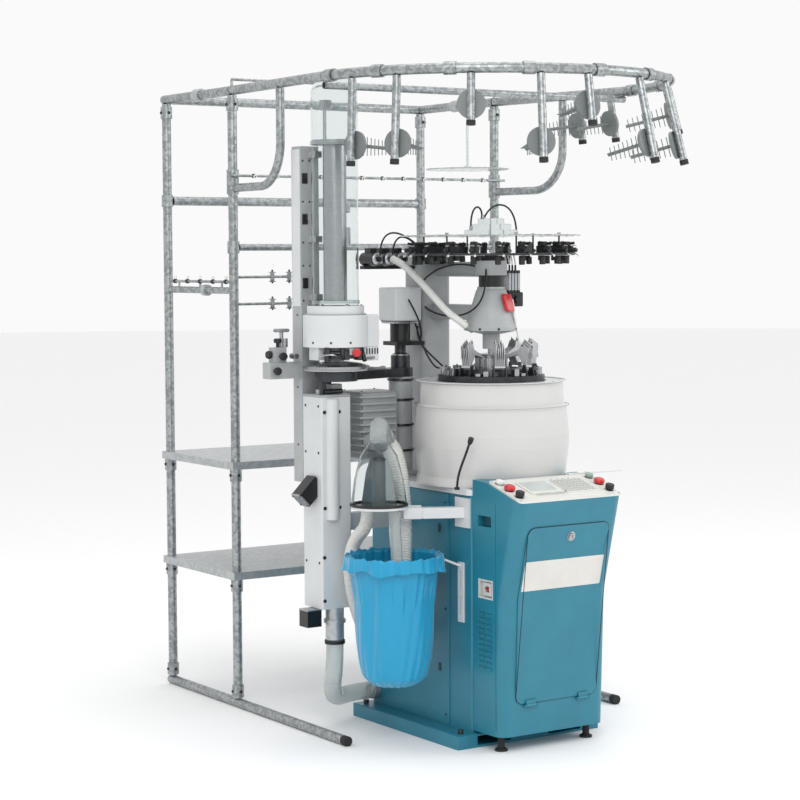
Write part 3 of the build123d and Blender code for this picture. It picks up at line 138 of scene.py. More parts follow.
def round_rect(width, height, corner, steps=5):
    """Outline of a rectangle whose corners are quarter circles."""
    t = np.linspace(0, np.pi / 2, steps)
    arc = np.stack([np.cos(t), np.sin(t)], axis=-1) * corner
    parts = []
    for k, (sx, sy) in enumerate(((1, 1), (-1, 1), (-1, -1), (1, -1))):
        c, s = np.cos(k * np.pi / 2), np.sin(k * np.pi / 2)
        turned = arc @ np.array([[c, s], [-s, c]])
        parts.append(turned + (sx * (width / 2 - corner), sy * (height / 2 - corner)))
    return np.concatenate(parts)


def circle(radius, count=24):
    """Outline of a circle."""
    t = np.linspace(0, 2 * np.pi, count, endpoint=False)
    return np.stack([np.cos(t), np.sin(t)], axis=-1) * radius


def slab(outline, thick, at=(0, 0, 0), across=(1, 0, 0), up=(0, 1, 0), chamfer=0.001):
    """An outline carried along its normal, drawn in by the chamfer at both ends, with end caps."""
    across, up = unit(across), unit(up)
    normal = np.cross(across, up)
    outline = np.asarray(outline, float)
    reach = np.abs(outline).max(axis=0)
    drawn = outline * (1 - min(chamfer, thick / 3, reach.min() * 0.5) / reach)
    chamfer = min(chamfer, thick / 3)
    rows = ((drawn, 0), (outline, chamfer), (outline, thick - chamfer), (drawn, thick))
    points = np.concatenate([flat[:, :1] * across + flat[:, 1:] * up + normal * h for flat, h in rows])
    n = len(outline)
    faces = grid_quads(4, n, wrap_cols=True).tolist()
    faces += [list(range(n))[::-1], list(range(3 * n, 4 * n))]
    return points + np.asarray(at, float), faces


def brick(low, high, corner=0.002):
    """A block between two corners with rounded upright edges and chamfered ends."""
    low, high = np.asarray(low, float), np.asarray(high, float)
    size, mid = high - low, (low + high) / 2
    corner = min(corner, size[0] * 0.49, size[1] * 0.49)
    return slab(round_rect(size[0], size[1], corner), size[2], (mid[0], mid[1], low[2]),
                chamfer=corner * 0.6)


def bar(start, end, radius, count=16, chamfer=0.0006):
    """A round bar from start to end with chamfered ends."""
    start, end = np.asarray(start, float), np.asarray(end, float)
    length = np.linalg.norm(end - start)
    c = min(chamfer, length / 4, radius / 3)
    return lathe([(0, 0), (radius - c, 0), (radius, c), (radius, length - c), (radius - c, length),
                  (0, length)],
                 start, end - start, count)


def sweep(path, outline, closed=False, grow=None, lean=None):
    """Each path point carries the outline in the plane square to the path, scaled by grow."""
    path, outline = np.asarray(path, float), np.asarray(outline, float)
    if closed:
        along = unit(np.roll(path, -1, axis=0) - np.roll(path, 1, axis=0))
    else:
        along = unit(np.gradient(path, axis=0))
    if lean is None:
        lean = np.eye(3)[np.abs(along).max(axis=0).argmin()]
    side = unit(np.cross(along, lean))
    rise = np.cross(side, along)
    size = np.ones(len(path)) if grow is None else np.asarray(grow, float)
    points = path[:, None] + size[:, None, None] * (outline[None, :, :1] * side[:, None] + outline[None, :,
        1:] * rise[:, None])
    n = len(outline)
    faces = grid_quads(len(path), n, wrap_rows=closed, wrap_cols=True).tolist()
    if not closed:
        faces += [list(range(n)), list(range((len(path) - 1) * n, len(path) * n))[::-1]]
    return points.reshape(-1, 3), faces


def bow(points, steps=24):
    """A smooth line: each point is the weighted mean of the control points, with Bernstein weights."""
    points = np.asarray(points, float)
    n = len(points) - 1
    t = np.linspace(0, 1, steps)[:, None]
    k = np.arange(n + 1)[None]
    weights = np.array([math.comb(n, j) for j in range(n + 1)])[None] * t ** k * (1 - t) ** (n - k)
    return weights @ points


def turned(shape, angle, centre=(0, 0, 0)):
    """A shape turned about an upright axis through the centre."""
    points, faces = shape
    c, s = math.cos(angle), math.sin(angle)
    spin = np.array([[c, s, 0], [-s, c, 0], [0, 0, 1]])
    return (points - centre) @ spin + centre, faces


def piece(name, shapes, material, body="machine", crease=35, smooth=True):
    """One mesh from several shapes, welded, facing outwards and smooth under the crease angle."""
    points, faces, start = [], [], 0
    for p, f in shapes:
        points.append(p)
        faces.extend([[i + start for i in face] for face in f])
        start += len(p)
    mesh = bpy.data.meshes.new(name)
    mesh.from_pydata(np.concatenate(points).tolist(), [], faces)
    work = bmesh.new()
    work.from_mesh(mesh)
    bmesh.ops.remove_doubles(work, verts=work.verts, dist=1e-6)
    bmesh.ops.dissolve_degenerate(work, edges=work.edges, dist=1e-7)
    bmesh.ops.recalc_face_normals(work, faces=work.faces)
    work.to_mesh(mesh)
    work.free()
    if smooth:
        mesh.shade_smooth()
        mesh.set_sharp_from_angle(angle=math.radians(crease))
    mesh.materials.append(material)
    obj = bpy.data.objects.new(name, mesh)
    bpy.context.scene.collection.objects.link(obj)
    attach(obj, body)
    return obj


# ---- finishes ----


def linear(code):
    """An sRGB hex colour as linear red, green, blue and alpha."""
    values = np.array([int(code[i:i + 2], 16) for i in (1, 3, 5)]) / 255
    flat = np.where(values <= 0.04045, values / 12.92, ((values + 0.055) / 1.055) ** 2.4)
    return (*flat.tolist(), 1.0)


def add_node(tree, kind, inputs=None, **options):
    """One node with its options and its inputs, which are values or other nodes' outputs."""
    node = tree.nodes.new(kind)
    for key, value in options.items():
        setattr(node, key, value)
    for socket, value in (inputs or {}).items():
        if isinstance(value, bpy.types.NodeSocket):
            tree.links.new(value, node.inputs[socket])
        else:
            node.inputs[socket].default_value = value
    return node


MADE = {}


def finish(name, base, second, rough, metallic=0.0, grain=0.004, patch=0.12, relief=0.1, spread=0.5,
           surface_inputs=None, cells=False, stretch=(1, 1, 1)):
    """A finish whose colour drifts from base to second over patches, with a fine grain in relief and gloss.

    grain and patch are the real sizes, in metres, of the relief's grain and of the colour's patches."""
    if name in MADE:
        return MADE[name]
    material = bpy.data.materials.new(name)
    material.use_nodes = True
    tree = material.node_tree
    tree.nodes.clear()
    where = add_node(tree, "ShaderNodeTexCoord")
    fitted = add_node(tree, "ShaderNodeMapping", {"Vector": where.outputs["Object"], "Scale": stretch})
    if cells:
        drift = add_node(tree, "ShaderNodeTexVoronoi", {"Vector": fitted.outputs[0], "Scale": 1 / patch},
                         feature="F1")
        value = add_node(tree, "ShaderNodeSeparateColor", {"Color": drift.outputs["Color"]}).outputs[0]
    else:
        drift = add_node(tree, "ShaderNodeTexNoise",
                         {"Vector": fitted.outputs[0], "Scale": 1 / patch, "Detail": 4.0, "Roughness": 0.6})
        value = drift.outputs[0]
    amount = add_node(tree, "ShaderNodeMapRange",
                      {"Value": value, "From Min": 0.3, "From Max": 0.7, "To Min": 0.0, "To Max": spread})
    colour = add_node(tree, "ShaderNodeMix", {0: amount.outputs[0], 6: linear(base), 7: linear(second)},
                      data_type="RGBA")
    fine = add_node(tree, "ShaderNodeTexNoise",
                    {"Vector": fitted.outputs[0], "Scale": 1 / grain, "Detail": 2.0, "Roughness": 0.5})
    gloss = add_node(tree, "ShaderNodeMapRange", {"Value": fine.outputs[0], "From Min": 0.25,
                                                  "From Max": 0.75,
                                                  "To Min": rough * 0.85, "To Max": min(1.0, rough * 1.18)})
    bump = add_node(tree, "ShaderNodeBump", {"Height": fine.outputs[0], "Strength": relief,
                                             "Distance": grain * 0.12})
    shader = add_node(tree, "ShaderNodeBsdfPrincipled",
                      {"Base Color": colour.outputs[2], "Roughness": gloss.outputs[0], "Metallic": metallic,
                       "Normal": bump.outputs[0], **(surface_inputs or {})})
    add_node(tree, "ShaderNodeOutputMaterial", {"Surface": shader.outputs[0]})
    MADE[name] = material
    return material


def cloth_finish(name, base, second):
    """Coated nylon taffeta: threads 0.9 mm apart, drawn coarser than life to show, with a soft sheen."""
    material = bpy.data.materials.new(name)
    material.use_nodes = True
    tree = material.node_tree
    tree.nodes.clear()
    where = add_node(tree, "ShaderNodeTexCoord")
    warp = add_node(tree, "ShaderNodeTexWave", {"Vector": where.outputs["UV"], "Scale": 170.0,
                                                "Distortion": 0.3},
                    bands_direction="X")
    weft = add_node(tree, "ShaderNodeTexWave", {"Vector": where.outputs["UV"], "Scale": 170.0,
                                                "Distortion": 0.3},
                    bands_direction="Y")
    weave = add_node(tree, "ShaderNodeMath", {0: warp.outputs[1], 1: weft.outputs[1]}, operation="MULTIPLY")
    wear = add_node(tree, "ShaderNodeTexNoise", {"Vector": where.outputs["Object"], "Scale": 14.0,
                                                 "Detail": 5.0})
    colour = add_node(tree, "ShaderNodeMix", {0: wear.outputs[0], 6: linear(base), 7: linear(second)},
                      data_type="RGBA")
    creases = add_node(tree, "ShaderNodeTexNoise",
                       {"Vector": where.outputs["Object"], "Scale": 42.0, "Detail": 3.0, "Distortion": 0.8})
    rumple = add_node(tree, "ShaderNodeBump",
                      {"Height": creases.outputs[0], "Strength": 0.35, "Distance": 0.004})
    bump = add_node(tree, "ShaderNodeBump", {"Height": weave.outputs[0], "Strength": 0.25,
                                             "Distance": 0.0003,
                                             "Normal": rumple.outputs[0]})
    shader = add_node(tree, "ShaderNodeBsdfPrincipled",
                      {"Base Color": colour.outputs[2], "Roughness": 0.42, "Sheen Weight": 0.35,
                       "Sheen Roughness": 0.4, "Normal": bump.outputs[0], "Coat Weight": 0.1})
    add_node(tree, "ShaderNodeOutputMaterial", {"Surface": shader.outputs[0]})
    return material


def finishes():
    """Every finish of the machine, by its short name."""
    own = settings("knit_finishes")
    clear = {"Transmission Weight": 1.0, "IOR": 1.12}
    return {
        # powder coat: a fine orange peel and a soft gloss
        "teal": finish("teal_powder_coat", own.teal, "#1B6A80", 0.38, grain=0.003, relief=0.12, spread=0.6,
                       surface_inputs={"Coat Weight": 0.15, "Coat Roughness": 0.25}),
        # dark teal: the box's corner seams, and painted shade in the louvre slits and the lift handle's
        # recess
        "dark_teal": finish("teal_seams_and_painted_shade", "#12505F", "#0E4452", 0.5),
        "white": finish("white_powder_coat", own.white, "#C0C3C5", 0.36, grain=0.003, relief=0.08),
        "drum": finish("glazed_white_drum", "#C9C9C7", "#BEBEBD", 0.3, grain=0.004, relief=0.05, patch=0.3,
                       surface_inputs={"Coat Weight": 0.3, "Coat Roughness": 0.12}),
        "bed": finish("pale_bed_enamel", "#D2D4D5", "#C4C7C9", 0.32, grain=0.004, relief=0.08),
        "casting": finish("enamelled_casting", "#A7AAAB", "#93979A", 0.42, grain=0.005, relief=0.35,
                          patch=0.05),
        "steel": finish("ground_steel", "#B4B6B8", "#8C9093", 0.28, metallic=1.0, grain=0.0015, patch=0.03,
                        relief=0.15,
                        stretch=(1, 1, 8)),
        "dark_steel": finish("blackened_steel", "#4B4E51", "#2A2C2E", 0.36, metallic=0.9, grain=0.002,
                             patch=0.02),
        "zinc": finish("galvanised_tube", own.zinc, "#7E8385", 0.38, metallic=0.85, grain=0.003,
                       patch=0.011,
                       relief=0.25, spread=0.75, cells=True),
        "sheet_zinc": finish("galvanised_sheet", "#B9BCBD", "#9DA2A4", 0.42, metallic=0.7, grain=0.003,
                             patch=0.016,
                             relief=0.12, spread=0.5, cells=True),
        "motor": finish("black_enamel", "#17181A", "#0D0E0F", 0.34, grain=0.003, relief=0.2),
        "black": finish("moulded_black_nylon", "#1B1C1E", "#101112", 0.48, grain=0.0012, relief=0.25,
                        patch=0.02),
        "rubber": finish("black_rubber", "#202123", "#141516", 0.7, grain=0.001, relief=0.3),
        "panel": finish("moulded_pale_grey", "#D9D9D3", "#CDCEC9", 0.45, grain=0.0015, relief=0.2),
        "screen": finish("display_glass", "#B9C0BE", "#AEB6B5", 0.12, grain=0.002, relief=0.02,
                         surface_inputs={"Coat Weight": 0.6, "Coat Roughness": 0.05}),
        "key": finish("pad_keys", "#C3C6C2", "#B5B9B6", 0.5, grain=0.001, relief=0.2),
        "red": finish("moulded_red", own.red, "#A8151F", 0.3, grain=0.002, relief=0.08,
                      surface_inputs={"Coat Weight": 0.3}),
        "white_plastic": finish("moulded_white", "#E4E3DF", "#D8D8D5", 0.3, grain=0.002, relief=0.08),
        "green": finish("moulded_grey_green", "#8FA59A", "#7E948A", 0.32, grain=0.002, relief=0.08),
        "peg": finish("grey_green_moulding", "#767C7B", "#656B6B", 0.45, grain=0.002, relief=0.2),
        "blank": finish("blank_steel_plate", "#D6D4CF", "#C6C5C1", 0.3, metallic=0.2, grain=0.002,
                        relief=0.05),
        "smoke": finish("smoked_acrylic", "#A9B0B2", "#9CA3A6", 0.12, grain=0.004, relief=0.03,
                        surface_inputs={"Transmission Weight": 0.85, "IOR": 1.12}),
        "cast_nickel": finish("satin_nickel_casting", "#C6C8C9", "#A9ACAE", 0.34, metallic=0.75,
                              grain=0.002, patch=0.03,
                              relief=0.2),
        "clear": finish("clear_acrylic", "#F4F7F7", "#EEF3F3", 0.04, grain=0.02, relief=0.02,
                        surface_inputs=clear),
        "clear_disc": finish("clear_sheet", "#E6ECEB", "#DCE4E4", 0.12, grain=0.01, relief=0.02,
                             surface_inputs={"Transmission Weight": 0.85, "IOR": 1.3}),
        "hose": finish("white_vinyl_hose", "#E6E6E2", "#D9DAD7", 0.35, grain=0.003, relief=0.1,
                       surface_inputs={"Transmission Weight": 0.15, "Subsurface Weight": 0.15,
                                       "Subsurface Radius": (0.01, 0.01, 0.01)}),
        "clear_hose": finish("clear_vinyl_hose", "#EEF2F2", "#E2E8E9", 0.14, grain=0.004, relief=0.08,
                             surface_inputs={"Transmission Weight": 0.8, "IOR": 1.2}),
    }


NODE_FINISH = {
    "teal": ("cabinet_shell", "side_panels", "control_box", "control_door", "base_plate"),
    "bed": ("bed_plate", "bell_bracket", "bag_holder"),
    "motor": ("main_motor", "servo_motors", "motor_pulley"),
    "rubber": ("drive_belt", "end_plugs"),
    "panel": ("operator_panel",),
    "steel": ("door_lock", "needle_cylinder", "dial_cutter", "link_ring", "lift_tube"),
    "cast_nickel": ("yarn_feeder_1", "yarn_feeder_2", "yarn_feeder_3", "yarn_feeder_4", "yarn_feeder_5"),
    "white_plastic": ("start_button_left",),
    "green": ("start_button_right",),
    "red": ("stop_button_left", "stop_button_right", "breaker_toggle"),
    "black": ("jog_button_left", "jog_button_right", "yarn_devices"),
    "key": ("breaker_body",),
    "drum": ("drum_cover", "drum_ring"),
    "dark_steel": ("cam_housing", "transfer_arm", "selector_ring", "air_valves"),
    "casting": ("head_pillar", "air_unit", "link_column"),
    "white": ("link_box", "link_head"),
    "clear_disc": ("yarn_disc", "guide_disc"),
    "clear": ("link_tube", "sock_bell"),
    "zinc": ("stand_frame", "creel_ring", "tube_clamps", "drop_tubes", "thread_rods"),
    "sheet_zinc": ("shelves", "suction_fittings"),
    "peg": ("bobbin_pegs",),
}


class KNIT_OT_finishes(bpy.types.Operator):
    """Gives every CAD node its finish"""
    bl_idname = "knit.finishes"
    bl_label = "Finish the frame"

    def execute(self, context):
        look = finishes()
        for key, names in NODE_FINISH.items():
            for name in names:
                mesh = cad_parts[name].data
                mesh.materials.clear()
                mesh.materials.append(look[key])
        return {"FINISHED"}


# ---- soft pieces ----

# the routes of the hoses: the same points as the CAD tubes, in metres
ROUTES = {
    "air": ((-0.226, 0.2755, 1.641), (-0.222, 0.225, 1.628), (-0.203, 0.150, 1.572), (-0.180, 0.085, 1.508),
            (-0.160, 0.030, 1.456), (-0.138, -0.012, 1.427), (-0.1134, -0.0061, 1.4122)),
    "wide": ((-0.358, 0.1515, 1.010), (-0.358, 0.092, 1.010), (-0.350, 0.060, 0.930),
             (-0.351, 0.042, 0.850),
             (-0.364, 0.008, 0.730), (-0.392, -0.024, 0.600)),
    "clear": ((-0.446, -0.062, 0.8086), (-0.446, -0.062, 0.745), (-0.450, -0.080, 0.670),
              (-0.456, -0.092, 0.600)),
    "suction": ((-0.480, 0.048, 0.8086), (-0.480, 0.048, 0.745), (-0.482, 0.128, 0.690),
                (-0.482, 0.168, 0.615),
                (-0.468, 0.180, 0.515), (-0.428, 0.196, 0.405), (-0.345, 0.250, 0.300),
                (-0.2515, 0.250, 0.300)),
    "floor": ((-0.496, 0.242, 0.3295), (-0.496, 0.242, 0.240), (-0.484, 0.284, 0.150),
              (-0.430, 0.350, 0.096),
              (-0.340, 0.395, 0.096), (-0.2515, 0.395, 0.096)),
}


def route_line(name, points, steps=32):
    """The smooth NURBS line through a route's control points, read back as points, with its length."""
    data = bpy.data.curves.new(name, "CURVE")
    data.dimensions = "3D"
    spline = data.splines.new("NURBS")
    spline.points.add(len(points) - 1)
    spline.points.foreach_set("co", np.hstack([points, np.ones((len(points), 1))]).ravel())
    spline.order_u = 3
    spline.use_endpoint_u = True
    spline.resolution_u = steps
    holder = bpy.data.objects.new(name, data)
    bpy.context.scene.collection.objects.link(holder)
    bpy.context.view_layer.update()
    mesh = bpy.data.meshes.new_from_object(holder)
    co = np.empty(len(mesh.vertices) * 3)
    mesh.vertices.foreach_get("co", co)
    bpy.data.objects.remove(holder)
    bpy.data.meshes.remove(mesh)
    line = co.reshape(-1, 3)
    return line, float(np.linalg.norm(np.diff(line, axis=0), axis=1).sum())


def even(line, count):
    """The same line with its points evenly spaced along it."""
    reach = np.concatenate([[0], np.cumsum(np.linalg.norm(np.diff(line, axis=0), axis=1))])
    at = np.linspace(0, reach[-1], count)
    return np.stack([np.interp(at, reach, line[:, k]) for k in range(3)], axis=-1), at


def carried(line):
    """Two directions square to a line that turn with it and don't twist: each step turns the last pair."""
    along = unit(np.gradient(line, axis=0))
    side = np.empty_like(along)
    start = np.eye(3)[np.abs(along[0]).argmin()]
    side[0] = unit(np.cross(along[0], start))
    for k in range(1, len(along)):
        side[k] = unit(side[k - 1] - along[k] * side[k - 1].dot(along[k]))
    return side, np.cross(along, side)


def ribbed_tube(line, reach, radius, wall, rib, pitch, count=40):
    """Radius = outer radius - rib * (1 - |cos(pi * distance / pitch)|), round a line, with an inner wall."""
    side, rise = carried(line)
    t = np.linspace(0, 2 * np.pi, count, endpoint=False)
    outer = radius - rib * (1 - np.abs(np.cos(np.pi * reach / pitch)))
    spin = np.cos(t)[None, :, None] * side[:, None] + np.sin(t)[None, :, None] * rise[:, None]
    out = line[:, None] + outer[:, None, None] * spin
    inner = line[:, None] + (outer - wall)[:, None, None] * spin
    points = np.concatenate([out, inner[::-1]])
    return points.reshape(-1, 3), grid_quads(len(points), count, wrap_rows=True, wrap_cols=True).tolist()


class KNIT_OT_hoses(bpy.types.Operator):
    """Makes the ribbed and clear hoses along their routes"""
    bl_idname = "knit.hoses"
    bl_label = "Hoses"

    def execute(self, context):
        own, look = settings("knit_hoses"), finishes()
        plan = (("air", own.air, 0.0016, 0.0012, 0.0045, "hose", ("air_hose",), "loose"),
                ("wide", own.wide, 0.003, 0.003, own.pitch * 1.15, "hose", ("sock_hoses",), "hanging"),
                ("clear", own.clear, 0.002, 0.0005, own.pitch * 2, "clear_hose", ("sock_hoses",),
                 "hanging"),
                ("suction", own.suction, 0.002, 0.0022, own.pitch * 0.85, "hose", ("suction_hoses",),
                 "loose"),
                ("floor", own.floor, 0.003, 0.003, own.pitch * 1.1, "clear_hose", ("suction_hoses",),
                 "loose"))
        for key, across, wall, rib, pitch, skin, nodes, lay in plan:
            line, length = route_line(key, ROUTES[key])
            count = int(length / pitch * 8)
            line, reach = even(line, count)
            obj = piece(f"{key}_hose_skin", [ribbed_tube(line, reach, across / 2, wall, rib, pitch)],
                        look[skin])
            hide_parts(*nodes)
        return {"FINISHED"}


class KNIT_OT_bag(bpy.types.Operator):
    """Makes the collecting bag: a gathered nylon tub that hangs from its wire hoop"""
    bl_idname = "knit.bag"
    bl_label = "Collecting bag"

    def execute(self, context):
        own, colours = settings("knit_bag"), settings("knit_finishes")
        low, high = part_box("collecting_bag")
        x, y = (low[0] + high[0]) / 2, (low[1] + high[1]) / 2
        wide, bottom, top = float(high[0] - low[0]) / 2, float(low[2]), float(high[2])
        hoop = wide + 0.003
        around, rows = 220, 64
        t = np.linspace(0, 2 * np.pi, around, endpoint=False)
        pleats = (np.sin(19 * t + 1.1 * np.sin(3 * t)) + 0.6 * np.sin(31 * t + 0.7)
                  + 0.5 * np.sin(47 * t + 2.1 * np.sin(2 * t)))
        slow = np.sin(5 * t + 0.6) + 0.7 * np.sin(8 * t + 2.0) + 0.6 * np.sin(11 * t + 4.0)
        v = np.linspace(0, 1, rows)[:, None]
        # side wall: a tub that narrows downwards, with long shallow folds and short pleats under the hoop
        height = top + 0.006 - (top + 0.006 - bottom - 0.02) * v
        body = (wide - 0.006) * (1 - 0.035 * v - 0.13 * v ** 6)
        fold = 0.0032 * pleats * np.exp(-v / 0.10) + 0.0042 * slow * np.sin(np.pi * np.clip(v, 0, 1)) ** 0.8
        fold = fold + 0.0018 * np.sin(23 * t + 9 * v) * v
        radius = body + fold - 0.004
        wall = np.stack([x + radius * np.cos(t), y + radius * np.sin(t), height + 0 * t + 0.004 * slow * v],
                        axis=-1)
        # base: rings that shrink to the middle with radial wrinkles
        s = np.linspace(0, 1, 16)[1:, None]
        ring = radius[-1] * (1 - s)
        sag = bottom + 0.02 - 0.017 * np.sin(np.pi / 2 * np.clip(s * 4, 0,
            1)) + 0.0015 * np.sin(17 * t) * (1 - s)
        base = np.stack([x + ring * np.cos(t), y + ring * np.sin(t),
                         np.maximum(sag, bottom + 0.001) + 0 * t], axis=-1)
        # hem: over the hoop and down its outside, gathered
        w = np.linspace(0, 1, 14)[::-1, None]
        over = np.pi * np.clip(w / 0.3, 0, 1)
        drop = np.clip((w - 0.3) / 0.7, 0, 1)
        out = 0.0058 * (1 - np.cos(over)) / 2 + 0.003 * drop
        out = out + (0.0036 * pleats + 0.0034 * slow) * np.clip(w, 0.05, 1) * 0.9 + 0.0048
        up = 0.0075 * np.sin(over) + 0.0028 * pleats * np.sin(over)
        hem_r = hoop - 0.003 + out
        hem_z = top + 0.004 + up - own.hem * drop * (1 + 0.22 * slow / 2) + 0 * t
        hem = np.stack([x + hem_r * np.cos(t), y + hem_r * np.sin(t), hem_z], axis=-1)
        sheet = np.concatenate([hem, wall, base])
        mesh = bpy.data.meshes.new("bag_cloth")
        n = len(sheet)
        faces = grid_quads(n - 1, around, wrap_cols=True)
        count = (n - 1) * around
        points = np.concatenate([sheet[:-1].reshape(-1, 3), sheet[-1].mean(axis=0)[None]])
        last = (n - 2) * around + np.arange(around)
        fan = np.stack([last, np.roll(last, -1), np.full(around, count)], axis=-1)
        mesh.from_pydata(points.tolist(), [], faces.tolist() + fan.tolist())
        # the weave follows the cloth: along it the distance round the hoop, down it the distance from the hem
        along = np.linalg.norm(np.diff(sheet, axis=0), axis=-1).mean(axis=1)
        down = np.concatenate([[0], np.cumsum(along)])
        grid = np.stack(np.meshgrid(down[:-1], t * wide, indexing="ij"), axis=-1).reshape(-1, 2)
        uv = np.concatenate([grid, [[down[-1], 0.0]]])
        loops = np.empty(len(mesh.loops), int)
        mesh.loops.foreach_get("vertex_index", loops)
        mesh.uv_layers.new(name="weave").data.foreach_set("uv", uv[loops][:, ::-1].ravel())
        obj = bpy.data.objects.new("bag_cloth", mesh)
        context.scene.collection.objects.link(obj)
        mesh.materials.append(cloth_finish("bag_nylon", colours.bag, "#008FB9"))
        hang(obj, top)
        mesh = obj.data
        work = bmesh.new()
        work.from_mesh(mesh)
        bmesh.ops.recalc_face_normals(work, faces=work.faces)
        work.to_mesh(mesh)
        work.free()
        mesh.shade_smooth()
        thick = obj.modifiers.new("cloth thickness", "SOLIDIFY")
        thick.thickness, thick.offset = 0.0008, 0.0
        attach(obj, "machine")
        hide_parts("collecting_bag")
        return {"FINISHED"}


def hang(obj, top):
    """Lets the cloth hang from its hoop: 24 steps of cloth under gravity, moved by no more than 14 mm."""
    mesh = obj.data
    n = len(mesh.vertices)
    before = np.empty(n * 3)
    mesh.vertices.foreach_get("co", before)
    before = before.reshape(-1, 3)
    held = obj.vertex_groups.new(name="held")
    grip = np.clip((before[:, 2] - (top - 0.05)) / 0.03, 0, 1)
    for level in np.unique(np.round(grip, 1)):
        held.add(np.flatnonzero(np.round(grip, 1) == level).tolist(), float(level), "REPLACE")
    cloth = obj.modifiers.new("hang", "CLOTH")
    cloth.settings.quality = 5
    cloth.settings.mass = 0.12
    cloth.settings.tension_stiffness = 12
    cloth.settings.compression_stiffness = 6
    cloth.settings.bending_stiffness = 0.08
    cloth.settings.vertex_group_mass = "held"
    cloth.settings.effector_weights.gravity = 0.35
    scene = bpy.context.scene
    for step in range(1, 25):
        scene.frame_set(step)
    shown = obj.evaluated_get(bpy.context.evaluated_depsgraph_get())
    after = np.empty(n * 3)
    shown.data.vertices.foreach_get("co", after)
    after = after.reshape(-1, 3)
    move = after - before
    far = np.linalg.norm(move, axis=1, keepdims=True)
    move *= np.minimum(1, 0.014 / np.maximum(far, 1e-9))
    obj.modifiers.remove(cloth)
    obj.vertex_groups.clear()
    mesh.vertices.foreach_set("co", (before + move).ravel())
    mesh.update()
    scene.frame_set(1)


# ---- details ----

# upright axes of the machine, in metres from the cylinder's own
LINK_AXIS = (-0.496, 0.222)
ARM_PIVOT = (-0.16, 0.33)
BELL_AXIS = (-0.480, -0.020)
STAND_LEFT, STAND_RIGHT = -0.571, 0.597
FEEDER_ANGLES = (200, 245, 290, 335, 20)   # degrees round the cylinder
PANEL_SLOPE = math.atan2(0.054, 0.182)
PANEL_MIDDLE = np.array([0, -0.363, 0.873])
DOOR_RISE = unit((0, -0.082, 0.331))


def front_y(z):
    """The control box's front: upright leaning lines that meet at the knee."""
    return np.where(z < 0.515, -0.355 - 0.017 * (z - 0.055) / 0.46, -0.372 - 0.082 * (z - 0.515) / 0.331)


def on_panel(x, v, lift=0.008):
    """A point of the sloping panel: x across it, v up it and lift out of it."""
    c, s = math.cos(PANEL_SLOPE), math.sin(PANEL_SLOPE)
    return PANEL_MIDDLE + (x, v * c - lift * s, v * s + lift * c)


def panel_slab(width, height, thick, x, v, corner=0.002, lift=0.008):
    """A thin slab that lies on the sloping panel."""
    up = (0, math.cos(PANEL_SLOPE), math.sin(PANEL_SLOPE))
    return slab(round_rect(width, height, corner), thick, on_panel(x, v, lift), (1, 0, 0), up,
                chamfer=0.0006)


def screw(at, axis, radius=0.004, height=0.0025):
    """A domed screw head with a sunk socket."""
    r, h = radius, height
    return lathe([(0, -h), (r, -h), (r, h * 0.2), (r * 0.8, h * 0.8), (r * 0.48, h), (r * 0.42, h * 0.2),
                  (0, h * 0.2)],
                 at, axis, 16)


def coil(start, end, radius, wire, turns, count=10):
    """A helical spring: a wire's circle carried round a helix between two points."""
    start, end = np.asarray(start, float), np.asarray(end, float)
    axis = unit(end - start)
    side = unit(np.cross(axis, (0.3, 0.5, 0.8)))
    t = np.linspace(0, 2 * np.pi * turns, int(turns * count))
    line = start + np.outer(t / t[-1], end - start) + radius * (np.outer(np.cos(t), side)
                                                               + np.outer(np.sin(t), np.cross(axis, side)))
    return sweep(line, circle(wire, 6), lean=axis)


